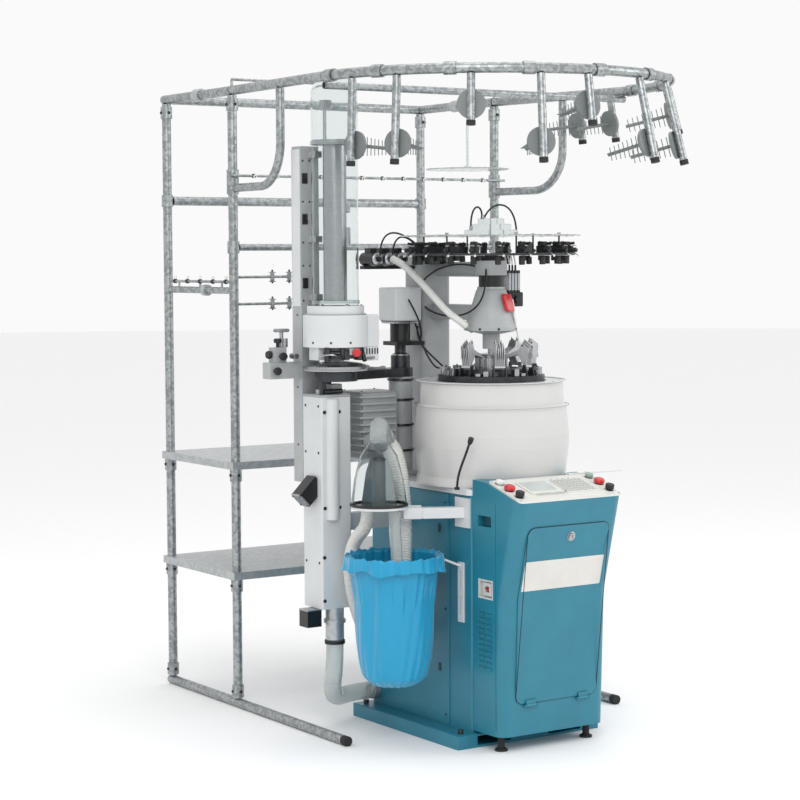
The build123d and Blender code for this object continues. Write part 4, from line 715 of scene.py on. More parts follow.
class KNIT_OT_control(bpy.types.Operator):
    """Makes the panel's screen and keys, the door's plate and its rubber seal line, which also paints the
    shade of the door gap, and the box's louvres with painted shade in their slits
    """
    bl_idname = "knit.control"
    bl_label = "Control box details"

    def execute(self, context):
        look = finishes()
        piece("panel_bezel", [panel_slab(0.128, 0.098, 0.0025, -0.066, 0.008, 0.005)], look["panel"])
        piece("panel_screen", [panel_slab(0.108, 0.076, 0.0012, -0.066, 0.012, 0.003, 0.0103)],
              look["screen"])
        piece("panel_handle", [sweep([on_panel(x, v, 0.0105) for x, v in
                                      ((-0.118, -0.046), (-0.112, -0.052), (0.004, -0.052), (0.010, -0.046),
                                       (0.010, -0.036))], circle(0.0016, 8))], look["steel"])
        keys = [panel_slab(0.0105, 0.0125, 0.0026, 0.078 + (i - 4) * 0.0142, 0.006 + (j - 2.5) * 0.0168,
                           0.002)
                for i in range(9) for j in range(6)]
        piece("panel_keys", keys, look["key"])
        piece("panel_lamps", [screw(on_panel(0.078 + (i - 2) * 0.024, 0.066, 0.0062),
                                    (0, -math.sin(PANEL_SLOPE), math.cos(PANEL_SLOPE)), 0.003, 0.0014)
                              for i in range(5)], look["green"])
        piece("panel_screws", [screw(on_panel(x, v, 0.0065),
                                     (0, -math.sin(PANEL_SLOPE), math.cos(PANEL_SLOPE)), 0.003,
                                     0.0014) for x in (-0.205, 0.205) for v in (-0.085, 0.085)],
              look["steel"])
        collars = [lathe([(0.0125, 0), (0.018, 0), (0.018, 0.0010), (0.0165, 0.0016), (0.0125, 0.0016)],
                         on_panel(x, v, 0.0058), (0, -math.sin(PANEL_SLOPE), math.cos(PANEL_SLOPE)), 28,
                         closed=True)
                   for x in (-0.188, 0.188) for v in (0.062, 0.006, -0.052)]
        piece("button_collars", collars, look["steel"])
        # door: blank plate, a dark rubber seal line round the door that also stands in for the painted shade
        # of the door gap, and lock bezel
        z = 0.594
        plate_at = (0.006, float(front_y(z)) - 0.0037, z)
        piece("door_plate", [slab(round_rect(0.330, 0.104, 0.004), 0.0012, plate_at, (1, 0, 0), DOOR_RISE,
                                  0.0005)],
              look["blank"], "door")
        # the dark rubber line round the door is partly a seal and partly painted shade of the door gap
        outline = round_rect(0.3395, 0.5965, 0.028, 9) + (0.005, 0.4615)
        rubber_and_shade_line = np.stack([outline[:, 0], front_y(outline[:, 1]) - 0.0024, outline[:, 1]], axis=-1)
        piece("door_rubber_and_gap_shade", [sweep(rubber_and_shade_line, circle(0.0013, 8), closed=True, lean=(0, 1, 0))], look["rubber"],
              "door")
        out = (0, -DOOR_RISE[2], DOOR_RISE[1])
        lock_at = np.array([0.017, float(front_y(0.72)) - 0.0034, 0.72])
        piece("lock_bezel", [lathe([(0.0126, 0), (0.0165, 0), (0.0165, 0.0016), (0.0152, 0.0026),
                                    (0.0126, 0.0026)],
                                   lock_at, out, 32, closed=True)], look["steel"], "door")
        face = lock_at + np.array(out) * 0.0062
        piece("key_slot", [slab(round_rect(0.0022, 0.0125, 0.0008), 0.0006, face, (1, 0, 0), DOOR_RISE,
                                0.0002)],
              look["rubber"], "lock")
        # left side: two columns of pressed louvres with painted shade in their slits, the painted shade of a
        # lift handle's recess and the corner seam
        hood = lathe([(0, 0), (0.0046, 0), (0.0046, 0.034), (0, 0.034)], count=20)
        louvres = []
        for y in (-0.303, -0.263):
            for k in range(11):
                z = 0.276 + 0.0182 * k
                points, faces = hood
                placed = points[:, [0, 2, 1]] * (0.62, 1, 1) + (-0.2203, y, z)
                louvres.append((placed, faces))
        piece("box_louvres", louvres, look["teal"])
        # dark teal strips in the louvre openings: painted shade
        piece("louvre_slit_painted_shade", [brick((-0.2209, y, 0.2795 + 0.0182 * k),
                                     (-0.2198, y + 0.034, 0.2825 + 0.0182 * k), 0.0003)
                               for y in (-0.303, -0.263) for k in range(11)], look["dark_teal"])
        piece("box_seams", [brick((-0.2206, -0.3265, 0.075), (-0.2196, -0.3247, 0.835), 0.0004),
                            brick((0.2196, -0.3265, 0.075), (0.2206, -0.3247, 0.835), 0.0004)],
              look["dark_teal"])
        # dark teal patch: painted shade of the lift handle's recess
        piece("handle_shade", [brick((-0.2003, -0.298, 0.754), (-0.1975, -0.228, 0.786), 0.001)],
              look["dark_teal"])
        feet = [lathe([(0, 0), (0.022, 0), (0.022, 0.006), (0.012, 0.012), (0.012, 0.056), (0, 0.056)],
                      (x, -0.30, 0.0), count=24) for x in (-0.18, 0.18)]
        piece("box_feet", feet, look["rubber"])
        return {"FINISHED"}


class KNIT_OT_cabinet(bpy.types.Operator):
    """Makes the cabinet's screws, latches and feet, the drum's seams and screws, and the motor's fins"""
    bl_idname = "knit.cabinet"
    bl_label = "Cabinet and drum details"

    def execute(self, context):
        look = finishes()
        low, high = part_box("side_panels")
        for side, x in (("left", low[0]), ("right", high[0])):
            out = (-1 if side == "left" else 1, 0, 0)
            spots = [(x, y, z) for y in (low[1] + 0.02, high[1] - 0.02)
                     for z in (low[2] + 0.03, (low[2] + high[2]) / 2,
                                                                                 high[2] - 0.03)]
            piece(f"panel_fixings_{side}", [screw(at, out, 0.0045) for at in spots], look["dark_steel"])
            latch = []
            for y in (low[1] + 0.055, high[1] - 0.055):
                for z in (low[2] + 0.19, high[2] - 0.12):
                    latch.append(slab(round_rect(0.012, 0.03, 0.005), 0.003, (x + 0.0004 * out[0], y, z),
                                      (0, out[0], 0), (0, 0, 1), 0.001))
            piece(f"latches_{side}", latch, look["dark_steel"])
        piece("drum_seam", [lathe([(0.2685, -0.0012), (0.2698, -0.0012), (0.2698, 0.0012),
                                   (0.2685, 0.0012)],
                                  (0, 0, 1.137), count=128, closed=True)], look["casting"])
        piece("drum_rim", [lathe([(0.2470, 0), (0.2600, 0), (0.2612, 0.0015), (0.2600, 0.003),
                                  (0.2470, 0.003)],
                                 (0, 0, 1.2205), count=128, closed=True)], look["white"])
        spots = [math.radians(a) for a in (20, 65, 110, 155, 200, 245, 290, 335)]
        piece("drum_screws", [screw((0.254 * math.cos(a), 0.254 * math.sin(a), 1.2235), (0, 0, 1), 0.004,
                                    0.0014) for a in spots],
              look["steel"])
        low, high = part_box("bed_plate")
        piece("bed_screws", [screw((x, y, high[2]), (0, 0, 1), 0.006, 0.004)
                             for x in (low[0] + 0.02, high[0] - 0.02)
                             for y in (low[1] + 0.02, high[1] - 0.02)], look["steel"])
        low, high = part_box("base_plate")
        piece("base_feet", [lathe([(0, 0.0005), (0.026, 0.0005), (0.026, 0.008), (0.01, 0.012),
                                   (0.01, high[2] + 0.014),
                                   (0, high[2] + 0.014)], (x, y, 0), count=24)
                            for x in (low[0] + 0.035, high[0] - 0.035)
                            for y in (low[1] + 0.035, high[1] - 0.035)],
              look["dark_steel"])
        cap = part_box("main_motor")
        piece("motor_fins", [lathe([(0.0705, 0), (0.0765, 0), (0.0765, 0.003), (0.0705, 0.003)],
                                   (0, 0.27, cap[0][2] + 0.03 + 0.012 * k), count=48, closed=True)
                             for k in range(11)],
              look["motor"])
        return {"FINISHED"}


class KNIT_OT_head(bpy.types.Operator):
    """Makes the cone's red cover and white tube, the cables, and the valve unit's tubes"""
    bl_idname = "knit.head"
    bl_label = "Knitting head details"

    def execute(self, context):
        look = finishes()
        # red cover that lies on the cone's slope, with a white tube down its side
        points, faces = slab(round_rect(0.040, 0.060, 0.006), 0.018, (0, 0, 0), (1, 0, 0), (0, 0, 1), 0.004)
        lean = points + (0, -0.064, 1.490)
        lean[:, 1] -= (1.50 - lean[:, 2]) * 0.30
        piece("cone_cover", [turned((lean, faces), math.radians(14))], look["red"])
        piece("cone_tube", [turned(bar((0.030, -0.104, 1.352), (0.027, -0.070, 1.500), 0.0052),
                                   math.radians(14)),
                            turned(bar((0.030, -0.106, 1.340), (0.030, -0.104, 1.356), 0.0072),
                                   math.radians(14))],
              look["white_plastic"])
        piece("cone_bands", [lathe([(0.0455, z), (0.0485, z), (0.0485, z + 0.006), (0.0455, z + 0.006)],
                                   count=48,
                                   closed=True) for z in (1.538, 1.628)], look["steel"])
        piece("cone_screws", [screw((0.0955 * math.cos(a), 0.0955 * math.sin(a), 1.400),
                                    (math.cos(a), math.sin(a), 0), 0.0045)
                              for a in np.radians([-150, -110, -60, -20, 30])], look["dark_steel"])
        cables = {
            "cable_hat_a": ((-0.085, 0.0, 1.742), (-0.088, 0, 1.80), (-0.070, 0, 1.845), (-0.030, 0, 1.82),
                            (-0.040, 0, 1.778)),
            "cable_hat_b": ((-0.030, 0.0, 1.778), (0.0, 0, 1.845), (0.095, 0.01, 1.850),
                            (0.108, 0.0, 1.790), (0.110, 0, 1.722)),
            "cable_cone_a": ((-0.036, -0.022, 1.620), (-0.070, -0.060, 1.560), (-0.066, -0.075, 1.480),
                             (-0.100, -0.050, 1.420),
                             (-0.150, 0.10, 1.430), (-0.075, 0.296, 1.470)),
            "cable_cone_b": ((-0.030, 0.028, 1.610), (-0.090, 0.08, 1.640), (-0.120, 0.18, 1.610),
                             (-0.085, 0.297, 1.560)),
            "cable_pillar_a": ((-0.086, 0.33, 1.40), (-0.150, 0.25, 1.34), (-0.120, 0.18, 1.30),
                               (-0.090, 0.16, 1.262)),
            "cable_pillar_b": ((-0.086, 0.36, 1.45), (-0.170, 0.20, 1.36), (-0.170, 0.12, 1.26),
                               (-0.130, 0.13, 1.262)),
            "cable_servo": ((-0.16, 0.278, 1.50), (-0.17, 0.22, 1.46), (-0.12, 0.24, 1.40),
                            (-0.086, 0.31, 1.36)),
            "cable_valves_a": ((-0.226, 0.276, 1.655), (-0.24, 0.25, 1.72), (-0.19, 0.27, 1.74),
                               (-0.10, 0.32, 1.692)),
            "cable_valves_b": ((-0.278, 0.276, 1.655), (-0.30, 0.24, 1.74), (-0.23, 0.26, 1.76),
                               (-0.08, 0.34, 1.692)),
        }
        piece("head_cables", [sweep(bow(points, 28), circle(0.0032, 8)) for points in cables.values()],
              look["rubber"])
        piece("hat_glands", [bar((x, 0, z), (x, 0, z + 0.014), 0.006, 12) for x, z in
                             ((-0.085, 1.7385), (-0.035, 1.7785), (0.110, 1.7215))], look["steel"])
        lines = [sweep(bow(((x + 0.005, 0.021, 1.612), (x + 0.005, 0.021, 1.635), (x + 0.004, 0.03, 1.652)),
                           8),
                       circle(0.0026, 8)) for x in (0.076, 0.089, 0.102, 0.115)]
        piece("valve_lines", lines, look["white_plastic"])
        bodies = [brick((x - 0.0005, -0.0005, 1.530), (x + 0.0105, 0.0425, 1.590), 0.0015)
                  for x in (0.076, 0.089, 0.102, 0.115)]
        piece("valve_bodies", bodies, look["steel"])
        piece("valve_block", [brick((0.068, -0.010, 1.474), (0.132, 0.050, 1.524), 0.004),
                              bar((0.100, -0.010, 1.499), (0.100, -0.026, 1.499), 0.013),
                              bar((0.080, -0.010, 1.505), (0.080, -0.020, 1.505), 0.006),
                              bar((0.132, 0.020, 1.499), (0.146, 0.020, 1.499), 0.006)], look["black"])
        # solenoids left of the pillar
        coils = []
        for x in (-0.278, -0.226, -0.174):
            coils.append(bar((x, 0.380, 1.641), (x, 0.292, 1.641), 0.0242, 28, 0.003))
            coils.append(brick((x - 0.014, 0.316, 1.658), (x + 0.014, 0.356, 1.680), 0.002))
        piece("solenoids", coils, look["motor"])
        caps = [lathe([(0.010, 0), (0.0225, 0), (0.0225, 0.003), (0.016, 0.007), (0.010, 0.007)],
                      (x, 0.2925, 1.641), (0, -1, 0), 28, closed=True) for x in (-0.278, -0.226, -0.174)]
        piece("solenoid_caps", caps, look["steel"])
        # black gooseneck lamp beside the drum
        neck = bow(((-0.262, -0.165, 0.871), (-0.262, -0.165, 0.93), (-0.250, -0.185, 0.96),
                    (-0.246, -0.215, 1.03)), 60)
        ring = 1 + 0.16 * np.cos(np.arange(60) * np.pi)
        piece("lamp_neck", [sweep(neck, circle(0.0042, 10), grow=ring),
                            bar(neck[0] - (0, 0, 0.001), neck[0] + (0, 0, 0.008), 0.009)], look["rubber"])
        piece("lamp_head", [lathe([(0, 0), (0.006, 0), (0.009, 0.008), (0.0095, 0.022), (0.008, 0.024),
                                   (0, 0.024)],
                                  neck[-1] - (0, 0, 0.004), neck[-1] - neck[-3], 20)], look["black"])
        return {"FINISHED"}


class KNIT_OT_needles(bpy.types.Operator):
    """Makes the needles in the cylinder, the cams' levers and the feeders' eyes and springs"""
    bl_idname = "knit.needles"
    bl_label = "Needles and feeders"

    def execute(self, context):
        look = finishes()
        hooks = []
        for k in range(48):
            a = 2 * math.pi * k / 48
            c, s = math.cos(a), math.sin(a)
            path = np.array([(0.0548, 1.242), (0.0548, 1.300), (0.0552, 1.3046), (0.0566, 1.3052),
                             (0.0574, 1.3034)])
            line = np.stack([path[:, 0] * c, path[:, 0] * s, path[:, 1]], axis=-1)
            hooks.append(sweep(line, circle(0.0007, 5), lean=(-s, c, 0)))
        piece("needles", hooks, look["steel"], "cylinder")
        levers, blocks, screws = [], [], []
        feeders = np.array(FEEDER_ANGLES)
        for k in range(40):
            deg = 9 * k + 3
            gap = np.abs((feeders - deg + 180) % 360 - 180).min()
            a = math.radians(deg)
            long = 0.030 if gap < 13 else 0.052
            z = 1.2425 + 0.004 * (k % 2)
            bent = slab(round_rect(long, 0.007 + 0.003 * (k % 3), 0.002), 0.0035, (0.146 - long / 2, 0, z),
                        (1, 0, 0),
                        (0, 1, 0), 0.0008)
            if gap >= 13 or k % 2:
                levers.append(turned(bent, a + 0.22 * math.sin(5 * k)))
            if gap > 14:
                blocks.append(turned(brick((0.148, -0.009, 1.2415),
                                           (0.176, 0.009, 1.2515 + 0.008 * (k % 3)), 0.002), a))
                screws.append(turned(screw((0.162, 0, 1.2525 + 0.008 * (k % 3)), (0, 0, 1), 0.0035), a))
        piece("cam_levers", levers, look["dark_steel"])
        piece("cam_blocks", blocks, look["steel"])
        piece("cam_screws", screws, look["dark_steel"])
        for number, angle in enumerate(FEEDER_ANGLES, start=1):
            a = math.radians(angle)
            eyes, springs, pads = [], [], []
            for k in range(5):
                across = (k - 2) * 0.007
                lift = 0.006 * ((k + number) % 3)
                eyes.append(turned(lathe([(0.0011, -0.002), (0.0024, -0.002), (0.0028, 0), (0.0024, 0.002),
                                          (0.0011, 0.002)], (0.0655, across, 1.3005), (0.4, 0, 1), 12,
                                         closed=True), a))
                springs.append(turned(coil((0.163, across, 1.300), (0.158, across, 1.328 + lift), 0.0022,
                                           0.0005, 7, 8), a))
                pads.append(turned(bar((0.139, across - 0.0026, 1.344 + lift),
                                       (0.139, across + 0.0026, 1.344 + lift),
                                       0.0036, 14), a))
            body = f"feeder_{number}"
            piece(f"feeder_eyes_{number}", eyes, look["white_plastic"], body)
            piece(f"feeder_springs_{number}", springs, look["steel"], body)
            piece(f"feeder_rollers_{number}", pads, look["dark_steel"], body)
        return {"FINISHED"}


class KNIT_OT_devices(bpy.types.Operator):
    """Makes the yarn devices: solenoids, levers, thread eyes and discs round the selector ring"""
    bl_idname = "knit.devices"
    bl_label = "Yarn devices"

    def execute(self, context):
        look = finishes()
        black, bright, eyes = [], [], []
        for k in range(20):
            a = math.radians(18 * k + 6)
            wob = 0.4 * math.sin(7.3 * k)
            dark = [bar((0.262, -0.004, 1.651), (0.262 + 0.004 * wob, -0.004, 1.622 - 0.004 * wob), 0.0105,
                        16, 0.002),
                    brick((0.236, 0.002, 1.634), (0.256, 0.016, 1.6515), 0.002),
                    brick((0.246, -0.013, 1.6835), (0.276, 0.006, 1.6985), 0.003),
                    bar((0.276, -0.006, 1.672), (0.300, -0.006, 1.668), 0.0065, 14),
                    bar((0.262, 0.011, 1.690), (0.290, 0.013, 1.694), 0.0045, 12)]
            metal = [bar((0.286, 0.006, 1.664), (0.302, 0.010, 1.652), 0.0016, 8),
                     lathe([(0, 0), (0.008, 0), (0.0085, 0.001), (0.003, 0.003), (0, 0.003)],
                           (0.2905, 0.0, 1.684),
                           (0.2, 0, 1), 18),
                     screw((0.250, -0.004, 1.6992), (0, 0, 1), 0.003, 0.0014)]
            eye = [lathe([(0.0018, -0.0015), (0.0036, -0.0015), (0.0042, 0), (0.0036, 0.0015),
                          (0.0018, 0.0015)],
                         (0.3035, 0.0105, 1.651), (1, 0, 0.3), 14, closed=True)]
            black += [turned(s, a) for s in dark]
            bright += [turned(s, a) for s in metal]
            eyes += [turned(s, a) for s in eye]
        piece("device_bodies", black, look["black"])
        piece("device_levers", bright, look["steel"])
        piece("device_eyes", eyes, look["white_plastic"])
        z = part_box("yarn_disc")[0][2]
        grommets = [lathe([(0.0040, -0.001), (0.0075, -0.001), (0.0075, 0.0052), (0.0040, 0.0052)],
                          (0.285 * math.cos(a), 0.285 * math.sin(a), z), count=14, closed=True)
                    for a in np.linspace(0, 2 * math.pi, 24, endpoint=False)]
        piece("disc_grommets", grommets, look["white_plastic"])
        posts = [bar((0.236 * math.cos(a), 0.236 * math.sin(a), z + 0.0035),
                     (0.236 * math.cos(a), 0.236 * math.sin(a),
                                                                              z + 0.012), 0.006, 12)
                 for a in np.radians(np.arange(15, 375, 60))]
        piece("disc_nuts", posts, look["steel"])
        return {"FINISHED"}


class KNIT_OT_linker(bpy.types.Operator):
    """Makes the toe-linking unit's mechanism, knobs, hinges, screws and motor faces"""
    bl_idname = "knit.linker"
    bl_label = "Toe-linking unit details"

    def execute(self, context):
        look = finishes()
        x, y = LINK_AXIS
        front = 0.214
        spots = [(-0.549, front, z) for z in (0.79, 1.12)] + [(-0.489, front, z) for z in (0.79, 1.12)]
        spots += [(-0.552, front, z) for z in (0.47, 0.62)] + [(-0.45, front, z) for z in (0.47, 0.62)]
        piece("box_knobs", [screw(at, (0, -1, 0), 0.0065, 0.004) for at in spots], look["black"])
        piece("box_side_screws", [screw((-0.56, yy, z), (-1, 0, 0), 0.0045) for yy in (0.235, 0.32)
                                  for z in (0.60, 0.98, 1.14)], look["dark_steel"])
        piece("box_top", [slab(round_rect(0.122, 0.13, 0.008), 0.010, (-0.501, 0.277, 1.1695), (1, 0, 0),
                               (0, 1, 0), 0.003),
                          bar((-0.533, 0.262, 1.179), (-0.533, 0.262, 1.196), 0.018, 28, 0.002),
                          brick((-0.505, 0.235, 1.178), (-0.462, 0.275, 1.214), 0.004)], look["casting"])
        piece("box_top_parts", [bar((-0.54, 0.225, 1.19), (-0.47, 0.225, 1.19), 0.008),
                                brick((-0.548, 0.23, 1.178), (-0.53, 0.25, 1.226), 0.003),
                                bar((-0.48, 0.30, 1.178), (-0.48, 0.30, 1.224), 0.012)], look["dark_steel"])
        # mechanism between the sewing head and the ring
        gears = [lathe([(0, 0), (0.026, 0), (0.027, 0.003), (0.027, 0.009), (0.022, 0.011), (0.022, 0.018),
                        (0, 0.018)],
                       (x - 0.052, y - 0.086, 1.300), (0, 0, 1), 40),
                 bar((x - 0.076, y - 0.070, 1.296), (x - 0.076, y - 0.070, 1.345), 0.012),
                 bar((x - 0.030, y - 0.092, 1.303), (x - 0.030, y - 0.092, 1.345), 0.010),
                 bar((x - 0.086, y - 0.060, 1.325), (x - 0.016, y - 0.096, 1.322), 0.008),
                 brick((x - 0.030, y - 0.106, 1.306), (x + 0.010, y - 0.080, 1.334), 0.003),
                 brick((x + 0.030, y - 0.096, 1.300), (x + 0.046, y - 0.070, 1.346), 0.002),
                 bar((x + 0.062, y - 0.088, 1.296), (x + 0.062, y - 0.060, 1.345), 0.008)]
        piece("linking_gears", gears, look["dark_steel"])
        piece("linking_levers", [sweep(bow(((x - 0.10, y - 0.05, 1.31), (x - 0.08, y - 0.11, 1.335),
                                            (x - 0.03, y - 0.10, 1.300)), 14), circle(0.003, 8)),
                                 brick((x - 0.014, y - 0.112, 1.318), (x + 0.024, y - 0.104, 1.342), 0.002),
                                 bar((x + 0.070, y - 0.094, 1.306), (x + 0.112, y - 0.070, 1.306), 0.004)],
              look["steel"])
        piece("red_knob", [lathe([(0, 0), (0.013, 0), (0.015, 0.004), (0.015, 0.013), (0.012, 0.017),
                                  (0, 0.018)],
                                 (x + 0.012, y - 0.104, 1.326), (0, -1, 0), 28)], look["red"])
        # square cheek at the right of the head with its row of slots
        piece("head_cheek", [brick((x + 0.068, y - 0.074, 1.296), (x + 0.128, y - 0.002, 1.3445), 0.004)],
              look["white"])
        piece("cheek_slots", [brick((x + 0.076 + 0.011 * k, y - 0.0755, 1.318),
                                    (x + 0.081 + 0.011 * k, y - 0.0735, 1.338),
                                    0.0004) for k in range(5)], look["dark_steel"])
        piece("head_screws", [screw((x + 0.112 * math.cos(a), y + 0.112 * math.sin(a), 1.36),
                                    (math.cos(a), math.sin(a), 0), 0.004)
                              for a in np.radians([-165, -130, -95])]
              + [screw((x + 0.128, y + v, 1.36), (1, 0, 0), 0.004) for v in (-0.06, 0.0, 0.06)]
              + [screw((x + 0.088 * math.cos(a), y + 0.088 * math.sin(a), 1.4845), (0, 0, 1), 0.0045)
                 for a in np.radians([-150, -90, -30, 30, 90, 150])], look["dark_steel"])
        piece("head_ledge", [lathe([(0.0985, 1.4530), (0.1040, 1.4530), (0.1050, 1.4550), (0.1040, 1.4570),
                                    (0.0985, 1.4570)],
                                   (x, y, 0), count=64, closed=True)], look["casting"])
        # left box with its knobs
        piece("left_knobs", [lathe([(0, 0), (0.006, 0), (0.006, 0.014), (0.013, 0.016), (0.0145, 0.024),
                                    (0.012, 0.03),
                                    (0, 0.031)], at, axis, 20)
                             for at, axis in (((-0.653, 0.37, 1.315), (-1, 0, 0)),
                                              ((-0.64, 0.352, 1.31), (0, -1, 0)),
                                              ((-0.64, 0.37, 1.340), (0, 0, 1)),
                                              ((-0.668, 0.344, 1.260), (0, -1, 0)))],
              look["black"])
        piece("left_fittings", [bar((-0.60, 0.344, 1.31), (-0.60, 0.31, 1.31), 0.010),
                                bar((-0.625, 0.37, 1.34), (-0.625, 0.37, 1.40), 0.007),
                                brick((-0.648, 0.355, 1.392), (-0.602, 0.385, 1.404), 0.003),
                                bar((-0.655, 0.37, 1.398), (-0.595, 0.37, 1.398), 0.005),
                                bar((-0.612, 0.37, 1.34), (-0.612, 0.37, 1.37), 0.011)], look["steel"])
        # post: hinges, cover screws and the guide rail
        post_x, post_y = -0.56, 0.34
        piece("post_hinges", [brick((post_x + 0.004, post_y - 0.004, z - 0.018),
                                    (post_x + 0.026, post_y, z + 0.018), 0.002)
                              for z in (1.56, 1.78, 1.92)], look["black"])
        piece("post_screws", [screw((post_x + dx, post_y, z), (0, -1, 0), 0.0035) for dx in (0.008, 0.034)
                              for z in (1.50, 1.62, 1.70, 1.84, 1.98)]
              + [screw((post_x, post_y + 0.03, z), (-1, 0, 0), 0.0035)
                 for z in (1.0, 1.2, 1.45, 1.65, 1.85, 2.0)],
              look["dark_steel"])
        piece("post_cover", [brick((-0.5615, 0.3985, 1.30), (-0.4885, 0.4025, 2.02), 0.001),
                             brick((-0.5625, 0.345, 1.48), (-0.5600, 0.395, 2.02), 0.0008)], look["white"])
        piece("tube_bands", [lathe([(0.0802, z), (0.0832, z), (0.0832, z + 0.012), (0.0802, z + 0.012)],
                                   (x, y, 0),
                                   count=64, closed=True) for z in (1.49, 2.03)], look["clear_disc"])
        piece("tube_carriage", [bar((x - 0.030, y - 0.01, 1.77), (x + 0.030, y - 0.01, 1.81), 0.015),
                                brick((x + 0.006, y - 0.030, 1.80), (x + 0.046, y + 0.010, 1.84), 0.006),
                                bar((x + 0.036, y - 0.02, 1.695), (x + 0.036, y - 0.02, 1.75), 0.012)],
              look["steel"], "lift")
        # motor faces
        px, py = ARM_PIVOT
        piece("servo_cap", [slab(round_rect(0.1125, 0.1125, 0.008), 0.1185, (px, py, 1.4225), (1, 0, 0),
                                 (0, 1, 0), 0.004)],
              look["white"])
        piece("servo_flange", [slab(round_rect(0.10, 0.10, 0.008), 0.008, (px, py, 1.4135), (1, 0, 0),
                                    (0, 1, 0), 0.001)],
              look["steel"])
        piece("pivot_rings", [lathe([(0.0425, z), (0.0465, z), (0.0475, z + 0.004), (0.0465, z + 0.008),
                                     (0.0425, z + 0.008)],
                                    (px, py, 0), count=48, closed=True) for z in (0.96, 1.05, 1.14, 1.21)],
              look["dark_steel"])
        piece("arm_cap", [lathe([(0, 1.2995), (0.030, 1.2995), (0.030, 1.304), (0.024, 1.308),
                                 (0.0206, 1.308), (0.0206, 1.306),
                                 (0, 1.306)], (px, py, 0), count=40)], look["steel"], "arm")
        way = unit((x - px, y - py, 0))
        level = np.array([px, py, 1.2565])
        piece("arm_fittings", [bar(level + way * d, level + way * d + (0, 0, 0.010), 0.007, 16)
                               for d in (0.10, 0.16, 0.22)]
              + [slab(round_rect(0.15, 0.018, 0.004), 0.008, level + way * 0.165 - (0, 0, 0.0005), way,
                      np.cross((0, 0, 1), way), 0.001)], look["steel"], "arm")
        piece("stepper_plate", [brick((-0.6085, 0.238, 0.4335), (-0.5485, 0.298, 0.4395), 0.003)],
              look["steel"])
        tilt, away = unit((-1, 0, -1)), np.array([-0.56, 0.272, 0.868])
        piece("stepper_ends", [slab(round_rect(0.0565, 0.0565, 0.006), 0.008, away + tilt * 0.0675,
                                    (0, 1, 0),
                                    np.cross(tilt, (0, 1, 0)), 0.001)], look["steel"])
        piece("stepper_screws", [screw(away + tilt * 0.0755 + np.array((0, 1, 0)) * a + np.cross(tilt,
            (0, 1, 0)) * b, tilt,
                                       0.003) for a in (-0.022, 0.022) for b in (-0.022, 0.022)],
              look["dark_steel"])
        return {"FINISHED"}


class KNIT_OT_takeoff(bpy.types.Operator):
    """Makes the duct between the bell and the blower, its clamps, and the bell's rings"""
    bl_idname = "knit.takeoff"
    bl_label = "Sock take-off details"

    def execute(self, context):
        look = finishes()
        duct = bow(((*BELL_AXIS, 1.030), (-0.482, -0.020, 1.105), (-0.440, 0.03, 1.10),
                    (-0.40, 0.08, 1.035),
                    (-0.372, 0.113, 1.010)), 40)
        grow = np.linspace(1.0, 1.18, 40)
        side, rise = carried(duct)
        t = np.linspace(0, 2 * np.pi, 36, endpoint=False)
        spin = np.cos(t)[None, :, None] * side[:, None] + np.sin(t)[None, :, None] * rise[:, None]
        out = duct[:, None] + 0.0285 * grow[:, None, None] * spin
        inner = duct[:, None] + (0.0285 * grow - 0.0018)[:, None, None] * spin
        points = np.concatenate([out, inner[::-1]])
        piece("bell_duct", [(points.reshape(-1, 3),
                             grid_quads(80, 36, wrap_rows=True, wrap_cols=True).tolist())],
              look["clear_hose"])
        axis = unit(duct[-1] - duct[-4])
        bands = [lathe([(0.0335, 0), (0.0375, 0), (0.0375, 0.008), (0.0335, 0.008)], duct[k], axis, 40,
                       closed=True)
                 for k in (31, 35, 39)]
        piece("duct_clamps", bands + [lathe([(0.0335, 0.030), (0.0385, 0.030), (0.0385, 0.040),
                                             (0.0335, 0.040)],
                                            (-0.358, 0.152, 1.010), (0, -1, 0), 40, closed=True)],
              look["steel"])
        piece("bell_rings", [lathe([(0.0935, 0), (0.0975, 0), (0.0985, 0.004), (0.0975, 0.009),
                                    (0.0935, 0.009)],
                                   (*BELL_AXIS, 0.8172), count=64, closed=True),
                             lathe([(0.0135, 0), (0.0208, 0), (0.0208, 0.012), (0.0135, 0.012)],
                                   (*BELL_AXIS, 0.968), count=32, closed=True)], look["black"])
        piece("bell_inner", [lathe([(0.0205, 0.8175), (0.0590, 0.8175), (0.0600, 0.8200), (0.0440, 0.9300),
                                    (0.0300, 0.9750),
                                    (0.0205, 0.9760)], (*BELL_AXIS, 0), count=48, closed=True)],
              look["smoke"])
        way = unit((-0.255, 0.130, 0))
        face = np.cross(way, (0, 0, 1))
        start = np.array([-0.225, -0.150, 0.791])
        piece("beam_screws", [screw(start + way * d + face * 0.0130 + (0, 0, h), face, 0.005)
                              for d in (0.155, 0.185)
                              for h in (-0.009, 0.009)], look["black"])
        piece("beam_plate", [slab(round_rect(0.062, 0.048, 0.004), 0.003,
                                  start + way * 0.172 + face * 0.0128, way, (0, 0, 1),
                                  0.0008)], look["white"])
        piece("blower_lid", [slab(round_rect(0.150, 0.136, 0.014), 0.006, (-0.309, 0.312, 1.1758),
                                  (1, 0, 0), (0, 1, 0), 0.002)],
              look["casting"])
        piece("blower_screws", [screw((-0.309 + a, 0.312 + b, 1.182), (0, 0, 1), 0.004)
                                for a in (-0.062, 0.062)
                                for b in (-0.056, 0.056)], look["dark_steel"])
        piece("floor_collars", [lathe([(0.0315, 0), (0.0355, 0), (0.0355, 0.012), (0.0315, 0.012)], at,
                                      axis, 40, closed=True)
                                for at, axis in (((-0.496, 0.242, 0.314), (0, 0, 1)),)], look["rubber"])
        return {"FINISHED"}


